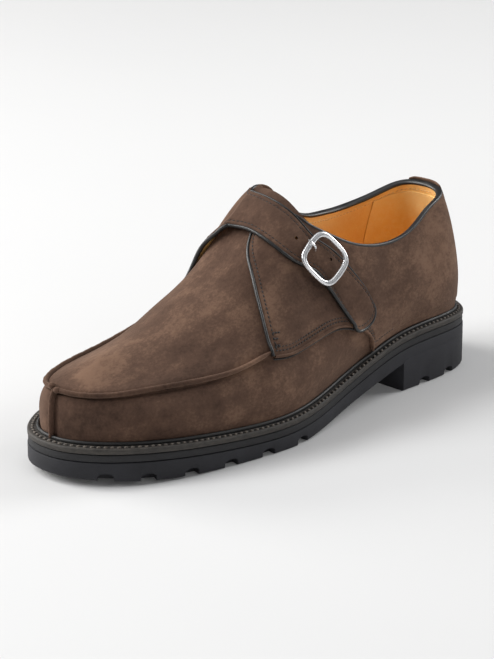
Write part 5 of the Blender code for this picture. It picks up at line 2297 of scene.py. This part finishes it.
# ================================================================ buckle
@dataclass
class Buckle:
    """Flat rounded square frame on the strap, with its prong through the middle hole.

    Forward runs along the strap to its tip, across runs over it, and the normal points
    away from the foot.
    """

    place: ClassVar[Pair] = (18.4, 0.553)   # station and girth of its middle

    size: float = 26.4
    cross_bar: float = 3.3
    side_bar: float = 2.65
    depth: float = 2.0
    squareness: float = 3.4
    lift: float = 7.6
    lean: Pair = (6.5, 4.0)
    turn: float = -10.0
    prong: float = 1.5
    prong_start: float = -6.5
    prong_drop: float = 3.0
    overhang: float = 0.9

    def __post_init__(self) -> None:
        """Find the plane of the frame over the strap."""
        along = float(LAST.along_at(self.place[0]))
        base = LAST.point(along, self.place[1])
        normal = LAST.normal(along, self.place[1])
        before, after = [self.strap_middle(self.place[1] + step) for step in (0.08, -0.08)]
        forward = after - before
        forward = unit(forward - normal * np.dot(forward, normal))
        across = np.cross(normal, forward)
        nose, side, turn = np.radians((*self.lean, self.turn))
        tipped = forward * math.cos(nose) + normal * math.sin(nose)
        leaned = across * math.cos(side) + normal * math.sin(side)
        leaned = unit(leaned - tipped * np.dot(leaned, tipped))
        self.forward = tipped * math.cos(turn) + leaned * math.sin(turn)
        self.across = leaned * math.cos(turn) - tipped * math.sin(turn)
        self.normal = np.cross(self.forward, self.across)
        self.centre = base + normal * self.lift

    @staticmethod
    def strap_middle(girth: float) -> Array:
        """Return the point of the last under the middle of the strap at a girth.

        Args:
            girth: Where on the strap.

        Returns:
            The point in mm.
        """
        rows = (np.asarray(STRAP_FRONT[:6]) + np.asarray(STRAP_REAR[:6])) / 2
        station = np.interp(girth, rows[:, 1], rows[:, 0])
        return LAST.point(LAST.along_at(station), girth)

    def at(self, ahead: Array, side: Array, height: Array) -> Array:
        """Return points by their distances forward, across and up from the centre, in mm."""
        ahead, side, height = [np.asarray(v, float)[..., None] for v in (ahead, side, height)]
        return self.centre + (ahead * self.forward + side * self.across) + height * self.normal

    def frame(self) -> Piece:
        """Return the frame: broad bars across the strap and slim ones along it.

        Returns:
            The piece.
        """
        steps = 120
        turn = np.arange(steps + 1) * 2 * math.pi / steps
        cos, sin = np.cos(turn), np.sin(turn)
        share = smooth_step(np.abs(cos), 0.35, 0.9)
        width = self.side_bar + (self.cross_bar - self.side_bar) * share
        reach = self.size / 2 * squared(turn, self.squareness)
        middle = reach - width / 2 * (1 + 0.15 * np.abs(np.sin(2 * turn)))
        centres = self.at(middle * cos, middle * sin, 0.0)
        outward = unit(self.at(cos, sin, 0.0) - self.centre)
        section = np.asarray(oval(1.0, self.depth, 20, 2.6))
        section = np.vstack([section, section[:1]])
        ring = (
            section[None, :, :1] * width[:, None, None] * outward[:, None]
            + section[None, :, 1:] * self.normal[None, None]
        )
        sheet = Bench.sheet("buckle_frame_bright", centres[:, None] + ring)
        return Bench.shade(Bench.close(sheet, fill_ends=False), 60)

    def pin(self) -> Piece:
        """Return the prong, from under the strap up through its hole and over the frame.

        Returns:
            The piece.
        """
        half = self.prong / 2
        rest = self.depth / 2 + half * 0.9
        reach = self.size / 2
        run = np.array([
            (self.prong_start + 0.2, -self.prong_drop),
            (self.prong_start - 0.1, -self.prong_drop + 1.2),
            (self.prong_start - 0.9, -0.4),
            (self.prong_start - 2.6, rest - 0.25),
            (-reach + 1.2, rest),
            (-reach - self.overhang + 0.6, rest - 0.3),
            (-reach - self.overhang, rest - 0.55),
        ])
        knots = np.arange(len(run))
        fine = even_steps(smooth_line(knots, run, np.linspace(0, knots[-1], 60)), 40)
        line = self.at(fine[:, 0], 0.0, fine[:, 1])
        heading = unit(np.gradient(line, axis=0))
        upright = unit(np.cross(heading, np.tile(self.across, (len(line), 1))))
        return Bench.rolled(
            "buckle_prong_bright", line, upright, oval(self.prong, self.prong * 0.85, 14),
            ends=(1.0, 0.55), taper=2.5,
        )

    def build(self) -> None:
        """Make and dress the frame and the prong."""
        RACK.dress(self.frame(), Finish.STEEL, "buckle_frame")
        RACK.dress(self.pin(), Finish.STEEL, "buckle_prong")


# ================================================================ sole
# margin of the sole beyond the feather line: station %, mm
SOLE_MARGIN = (
    (-98, 7), (-35, 6.2), (24, 5.8), (60, 6.5), (90, 6.8),
)


@dataclass
class Sole:
    """Welt, midsole, lugged rubber sole and heel block."""

    welt: float = 3.2
    midsole: float = 4.0
    gap: float = 0.3
    lug: float = 4.2
    toe_lift: float = 4.6
    flat: Pair = (-62.0, -22.0)
    toe_curve: float = 88.0
    breast: float = 76.0
    waist_curve: float = 1.35
    stations: int = 190
    notches: tuple[float, ...] = (-135, -116.4, -93.5, -69.8, -45.5, -20)
    heel_notches: tuple[float, ...] = (94, 116)
    notch: Pair = (8.4, 5.5)
    arch: float = 1.9
    ring_groove: Pair = (15.0, 19.0)
    bar_grooves: tuple[float, ...] = (-122, -103, -84, -65, -46, -27, -6)
    bar_groove: float = 4.5
    tread_rear: float = -6.0
    heel_grooves: tuple[float, ...] = (-16.0, 2.0, 20.0)
    heel_groove_length: float = 26.0
    heel_overlap: float = 1.6
    rounding: float = 0.3
    heel_rounding: float = 0.4
    rounded_from: float = 50.0
    cutter_floor: float = -6.0
    bead_size: Pair = (1.9, 2.3)
    bead_out: float = 1.2
    bead_up: float = 0.75
    bead_widens: Pair = (36.0, 56.0)
    stitch_line: float = 4.15
    stitches: Stitching = Stitching(3.5, 2.35, 1.75, 1.3, 24)

    def tread(self, y: Array) -> Array:
        """Return the height of the sole's underside at station y.

        Args:
            y: Stations in mm.

        Returns:
            Heights in mm.
        """
        y = np.asarray(y, float)
        front, rear = self.flat
        toe = self.toe_lift * (np.clip(front - y, 0, None) / self.toe_curve) ** 2
        climb = LAST.feather(self.breast) - LAST.ball_height
        share = np.clip((y - rear) / (self.breast - rear), 0, 1)
        seat = LAST.feather(y) - LAST.ball_height
        return toe + np.where(y > self.breast, seat, climb * share ** self.waist_curve)

    @staticmethod
    def edge(side: Side, margin: float) -> Array:
        """Return the outline of one side, `margin` mm beyond the sole's edge.

        Args:
            side: Side of the foot.
            margin: Distance in mm.

        Returns:
            Points in the plane.
        """
        table = np.asarray(SOLE_MARGIN, float)
        wide = cubic(table[:, 0] * LAST.half, table[:, 1])(LAST.foot[side][:, 1])
        return LAST.beyond(side, wide + margin)

    @staticmethod
    def loop(lines: Sequence[Array], steps: int, up: float) -> Array:
        """Join an outer and an inner line into one loop at a height.

        Args:
            lines: The two lines in the plane, from toe to heel.
            steps: Number of points on each.
            up: Height over the feather line in mm.

        Returns:
            Points in mm, from the toe round the heel and back to the toe.
        """
        outer, inner = [even_steps(line, steps) for line in lines]
        flat = np.vstack([outer, inner[-2::-1]])
        return np.column_stack([flat, LAST.feather(flat[:, 1]) + up])

    def ring(self, name: str, profile: Sequence[tuple[bool, float, float]]) -> Piece:
        """Sweep a closed section round the whole sole, at the height of the feather line.

        Args:
            name: Name of the piece.
            profile: Corners as (from the sole's edge or else the feather line, mm outwards, mm up).

        Returns:
            The closed ring.
        """
        columns = []
        for from_edge, out, up in (*profile, profile[0]):
            lines = [self.edge(side, out) if from_edge else LAST.beyond(side, out) for side in Side]
            columns.append(self.loop(lines, self.stations, up))
        sheet = Bench.sheet(name, np.stack(columns, axis=1))
        return Bench.shade(Bench.close(sheet, fill_ends=False))

    def slab(
        self, name: str, rim: Rows, low: Height, high: Height, start: float | None = None
    ) -> Piece:
        """Make one solid layer of the sole.

        Args:
            name: Name of the piece.
            rim: Edge from below to above, as (mm outwards, share of the height, mm up).
            low: Height of its underside.
            high: Height of its upper side.
            start: Station of its front face, or None for the whole length.

        Returns:
            The closed layer.
        """
        columns = []
        for side, order in ((Side.OUTER, 1), (Side.INNER, -1)):
            for out, share, up in rim[::order]:
                line = self.edge(side, out)
                if start is not None:
                    line = line[line[:, 1] >= start]
                line = even_steps(line, self.stations)
                if start is not None:
                    line[0, 1] = start
                y = line[:, 1]
                columns.append(np.column_stack([line, low(y) + (high(y) - low(y)) * share + up]))
        sheet = Bench.sheet(name, np.stack([*columns, columns[0]], axis=1))
        return Bench.close(sheet, fill_ends=start is not None)

    def edge_at(self, side: Side, station: float) -> tuple[Array, Array]:
        """Return the point of the edge at a station and the direction into the sole.

        Args:
            side: Side of the foot.
            station: Station in mm.

        Returns:
            The point and the direction.
        """
        line = self.edge(side, 0.0)
        k = int(np.argmin(np.abs(line[:, 1] - station)))
        return line[k], -LAST.out[side][k]

    def channel(
        self, centre: Array, direction: Array, length: float, width: float, high: float
    ) -> Piece:
        """Make a bar with a rounded back that cuts a groove into the tread.

        Args:
            centre: Middle of the bar in the plane.
            direction: Direction of its length.
            length: Length in mm.
            width: Width in mm.
            high: Height that the groove reaches.

        Returns:
            The closed bar.
        """
        forward = np.array([*unit(np.asarray(direction, float)), 0.0])
        across = np.array([-forward[1], forward[0], 0.0])
        turn = np.linspace(0, math.pi, 13)
        arch = np.stack([-np.cos(turn) * width / 2, high - self.arch * (1 - np.sin(turn))], axis=1)
        left, right = (-width / 2, self.cutter_floor), (width / 2, self.cutter_floor)
        section = np.array([left, *arch, right, left])
        middle = np.array([*centre, 0.0])
        ends = [middle + forward * reach for reach in (-length / 2, length / 2)]
        rows = [end + section[:, :1] * across + section[:, 1:] * (0.0, 0.0, 1.0) for end in ends]
        return Bench.close(Bench.sheet("groove", np.stack(rows)))

    def notch_bars(self, stations: Sequence[float], high: Height) -> list[Piece]:
        """Return the bars that cut the rim's notches on both sides.

        Args:
            stations: Stations of the notches.
            high: Height that they reach.

        Returns:
            The bars.
        """
        width, depth = self.notch
        bars = []
        for station in stations:
            for side in Side:
                edge, inward = self.edge_at(side, station)
                centre = edge + inward * (depth / 2 - 1.0)
                bars.append(self.channel(centre, inward, depth + 2.0, width, float(high(station))))
        return bars

    def lug_floor(self, y: Array) -> Array:
        """Return the height of the floor between the lugs."""
        return self.tread(y) + self.lug

    def groove_ring(self) -> Piece:
        """Return the cutter of the groove inside the rim's lugs.

        Returns:
            The cutter.
        """
        rims = []
        for inset in self.ring_groove:
            lines = [self.edge(side, -inset) for side in Side]
            outer, inner = [even_steps(line[line[:, 1] < self.tread_rear], 60) for line in lines]
            rims.append(np.vstack([inner[::-1], outer[1:]]))
        corners = []
        for rim, cuts in ((0, False), (1, False), (1, True), (0, True), (0, False)):
            y = rims[rim][:, 1]
            height = self.lug_floor(y) if cuts else np.full(len(y), self.cutter_floor)
            corners.append(np.column_stack([rims[rim], height]))
        return Bench.close(Bench.sheet("groove_ring", np.stack(corners, axis=1)))

    def outsole(self) -> Piece:
        """Return the lugged rubber sole with its plain waist.

        Returns:
            The piece.
        """
        under = self.welt + self.midsole + 2 * self.gap
        rim = (
            (-14.0, 0, 0), (-1.2, 0, 0), (-0.45, 0, 0.2), (-0.1, 0, 0.7), (0, 0, 1.4),
            (0, 1, -0.6), (-0.25, 1, -0.15), (-0.8, 1, 0), (-14.0, 1, 0),
        )
        sole = self.slab("outsole_rubber", rim, self.tread, lambda y: LAST.feather(y) - under)
        cutters = [self.groove_ring(), *self.notch_bars(self.notches, self.lug_floor)]
        for station in self.bar_grooves:
            left, _ = self.edge_at(Side.INNER, station)
            right, _ = self.edge_at(Side.OUTER, station)
            across = right - left
            length = np.linalg.norm(across) - 2 * self.ring_groove[0] - 1.0
            high = float(self.lug_floor(station))
            cutters.append(self.channel((left + right) / 2, across, length, self.bar_groove, high))
        sole = Bench.subtract(sole, *cutters)
        return Bench.shade(Bench.ease(sole, self.rounding, self.rounded_from))

    def heel(self) -> Piece:
        """Return the heel block with the lugs of its top piece.

        Returns:
            The piece.
        """
        rim = (
            (-14.0, 0, 0), (-1.2, 0, 0), (-0.4, 0, 0.3), (0.06, 0, 1.3),
            (0.06, 1, -0.1), (-0.1, 1, 0), (-14.0, 1, 0),
        )
        block = self.slab(
            "heel_rubber", rim, np.zeros_like, lambda y: self.tread(y) + self.heel_overlap,
            self.breast,
        )
        cutters = self.notch_bars(self.heel_notches, lambda y: self.lug)
        middle = (self.breast + LAST.length / 2) / 2
        for offset in self.heel_grooves:
            cutters.append(self.channel(
                (0.0, middle + offset), (1, 0), self.heel_groove_length, self.bar_groove, self.lug
            ))
        block = Bench.subtract(block, *cutters)
        return Bench.shade(Bench.ease(block, self.heel_rounding, self.rounded_from))

    def bead(self) -> Piece:
        """Return the bead that lies between the upper and the welt.

        Returns:
            The piece.
        """
        lines = []
        for side in Side:
            wider = smooth_step(LAST.foot[side][:, 1], *self.bead_widens)
            lines.append(LAST.beyond(side, self.bead_out + wider))
        points = self.loop(lines, 260, self.bead_up)[:-1]
        up = np.tile((0.0, 0.0, 1.0), (len(points), 1))
        return Bench.rolled("welt_bead", points, up, oval(*self.bead_size), closed=True)

    def welt_rows(self) -> list[Line]:
        """Return the line of the welt stitches, all round."""
        points = self.loop([LAST.beyond(side, self.stitch_line) for side in Side], 300, -0.02)
        return [(points, np.tile((0.0, 0.0, 1.0), (len(points), 1)))]

    def middle_layer(self) -> Piece:
        """Return the flat layer between the welt and the rubber.

        Returns:
            The piece.
        """
        rim = (
            (-14.0, 0, 0), (-0.9, 0, 0), (-0.45, 0, 0.25), (-0.35, 0, 0.8),
            (-0.35, 1, -0.8), (-0.5, 1, -0.25), (-0.9, 1, 0), (-14.0, 1, 0),
        )
        top = self.welt + self.gap
        return Bench.shade(self.slab(
            "midsole_layer", rim, lambda y: LAST.feather(y) - top - self.midsole,
            lambda y: LAST.feather(y) - top,
        ))

    def build(self) -> None:
        """Make and dress the sole from the welt down."""
        row = self.stitch_line
        section = (
            (False, -4.0, 0), (False, 0.5, 0), (False, row - 1.0, 0), (False, row - 0.75, -0.6),
            (False, row + 0.5, -0.6), (False, row + 0.75, -0.05), (True, -0.8, 0.05),
            (True, -0.35, -0.15), (True, -0.05, -0.6), (True, 0.0, -1.2), (True, -0.05, -2.6),
            (True, -0.4, -3.1), (True, -0.9, -self.welt), (False, -4.0, -self.welt),
        )
        RACK.dress(self.ring("welt_strip", section), Finish.WELT, "welt")
        # near-black strip laid in the stitch groove of the welt: painted shade in the gaps between
        # the welt stitches
        channel = (
            (False, row - 0.98, -0.12), (False, row + 0.73, -0.12),
            (False, row + 0.6, -0.5), (False, row - 0.85, -0.5),
        )
        RACK.dress(self.ring("welt_channel_shade", channel), Finish.WELT_BEAD)
        RACK.dress(self.bead(), Finish.WELT_BEAD)
        RACK.dress(self.stitches.sew("welt_stitches", self.welt_rows()), Finish.WELT_THREAD)
        RACK.dress(self.middle_layer(), Finish.MIDSOLE, "midsole")
        RACK.dress(self.outsole(), Finish.RUBBER, "outsole")
        RACK.dress(self.heel(), Finish.RUBBER, "heel")


@dataclass
class Footbed:
    """Tan leather sock on the insole, hollowed where it is at least `full` mm wide."""

    inset: float = 2.6
    thickness: float = 2.6
    rise: float = 0.9
    crown: float = 1.2
    full: float = 50.0

    def build(self) -> None:
        """Make and dress the footbed."""
        outer, inner = [even_steps(LAST.beyond(side, -self.inset), 160) for side in Side]
        share = np.linspace(0, 1, 25)[None, :, None]
        flat = inner[:, None] * (1 - share) + outer[:, None] * share
        wide = np.linalg.norm(inner - outer, axis=1)[:, None]
        hollow = self.crown * np.abs(2 * share[..., 0] - 1) ** 2 * np.minimum(1, wide / self.full)
        high = LAST.feather(flat[..., 1]) + self.rise + hollow
        grid = np.concatenate([flat, high[..., None]], axis=-1)
        bed = Bench.sheet("footbed", grid[1:-1, ::-1])
        Bench.thicken(bed, self.thickness)
        Bench.close(bed, fill_ends=False, merge=0.02)
        RACK.dress(Bench.shade(bed), Finish.LINING, "insole")


# ================================================================ studio
@dataclass
class Studio:
    """Pale floor, soft lights and the camera."""

    aim: Triple = (-0.001, -0.0075, 0.0475)
    station: Triple = (0.9634, -0.9661, 0.5286)
    lens: float = 145.0
    sensor: float = 36.0
    paper: float = 8.0
    air: Colour = (0.93, 0.95, 1.0)
    air_strength: float = 0.13
    lamps: tuple[tuple[str, Triple, float, float, Colour], ...] = (
        # name, place in m, size in m, power in W, colour
        ("low_left", (-2.5, -0.9, 0.9), 1.3, 52, (1.0, 0.98, 0.95)),
        ("high_left", (-1.1, -0.8, 1.8), 0.9, 22, (1.0, 1.0, 1.0)),
        ("front_left", (-0.9, -1.6, 1.3), 0.9, 22, (1.0, 1.0, 1.0)),
        ("top", (0.0, 0.3, 2.0), 1.4, 7, (1.0, 1.0, 1.0)),
        ("right", (1.9, 0.0, 0.9), 1.4, 6, (1.0, 1.0, 1.0)),
        ("back", (0.6, 1.8, 1.1), 1.0, 23, (1.0, 1.0, 1.0)),
    )

    def floor(self) -> None:
        """Lay the paper under the shoe."""
        floor = Bench.add("studio_floor", bpy.ops.mesh.primitive_plane_add, size=self.paper)
        floor.data.materials.append(Paper().material())

    def hang(self, name: str, data: bpy.types.ID, place: Triple) -> Piece:
        """Put a lamp or a camera at a place in metres and point it at the shoe.

        Args:
            name: Name of the object.
            data: The lamp or the camera.
            place: Where it stands, in metres.

        Returns:
            The object.
        """
        held = bpy.data.objects.new(name, data)
        held.location = place
        back = Vector(place) - Vector(self.aim)
        held.rotation_euler = back.to_track_quat("Z", "Y").to_euler()
        bpy.context.scene.collection.objects.link(held)
        return held

    def light(self) -> None:
        """Hang the square soft lamps."""
        for name, place, size, power, colour in self.lamps:
            data = bpy.data.lights.new(name, "AREA")
            data.energy = power
            data.size = size
            data.color = colour
            self.hang(name, data, place)

    def camera(self) -> None:
        """Place the camera at the shoe's front on the buckle side, a little above it."""
        data = bpy.data.cameras.new("camera")
        data.lens = self.lens
        data.sensor_width = self.sensor
        bpy.context.scene.camera = self.hang("camera", data, self.station)

    def sky(self) -> None:
        """Fill the room with even pale light and show its colours plainly."""
        bpy.context.scene.view_settings.view_transform = "Standard"
        world = bpy.data.worlds.new("studio")
        world.use_nodes = True
        backdrop = world.node_tree.nodes["Background"]
        backdrop.inputs["Color"].default_value = (*self.air, 1.0)
        backdrop.inputs["Strength"].default_value = self.air_strength
        bpy.context.scene.world = world

    def build(self) -> None:
        """Set the studio up."""
        self.floor()
        self.sky()
        self.light()
        self.camera()


def main() -> None:
    """Build the shoe piece by piece, then the studio."""
    logging.basicConfig(level=logging.INFO, format="%(name)s: %(message)s")
    for part in (Upper(), OuterQuarter(), Strap(), Collar(), Buckle(), Footbed(), Sole(), Studio()):
        part.build()
        LOG.info("%s is done", type(part).__name__)


if __name__ == "__main__":
    main()
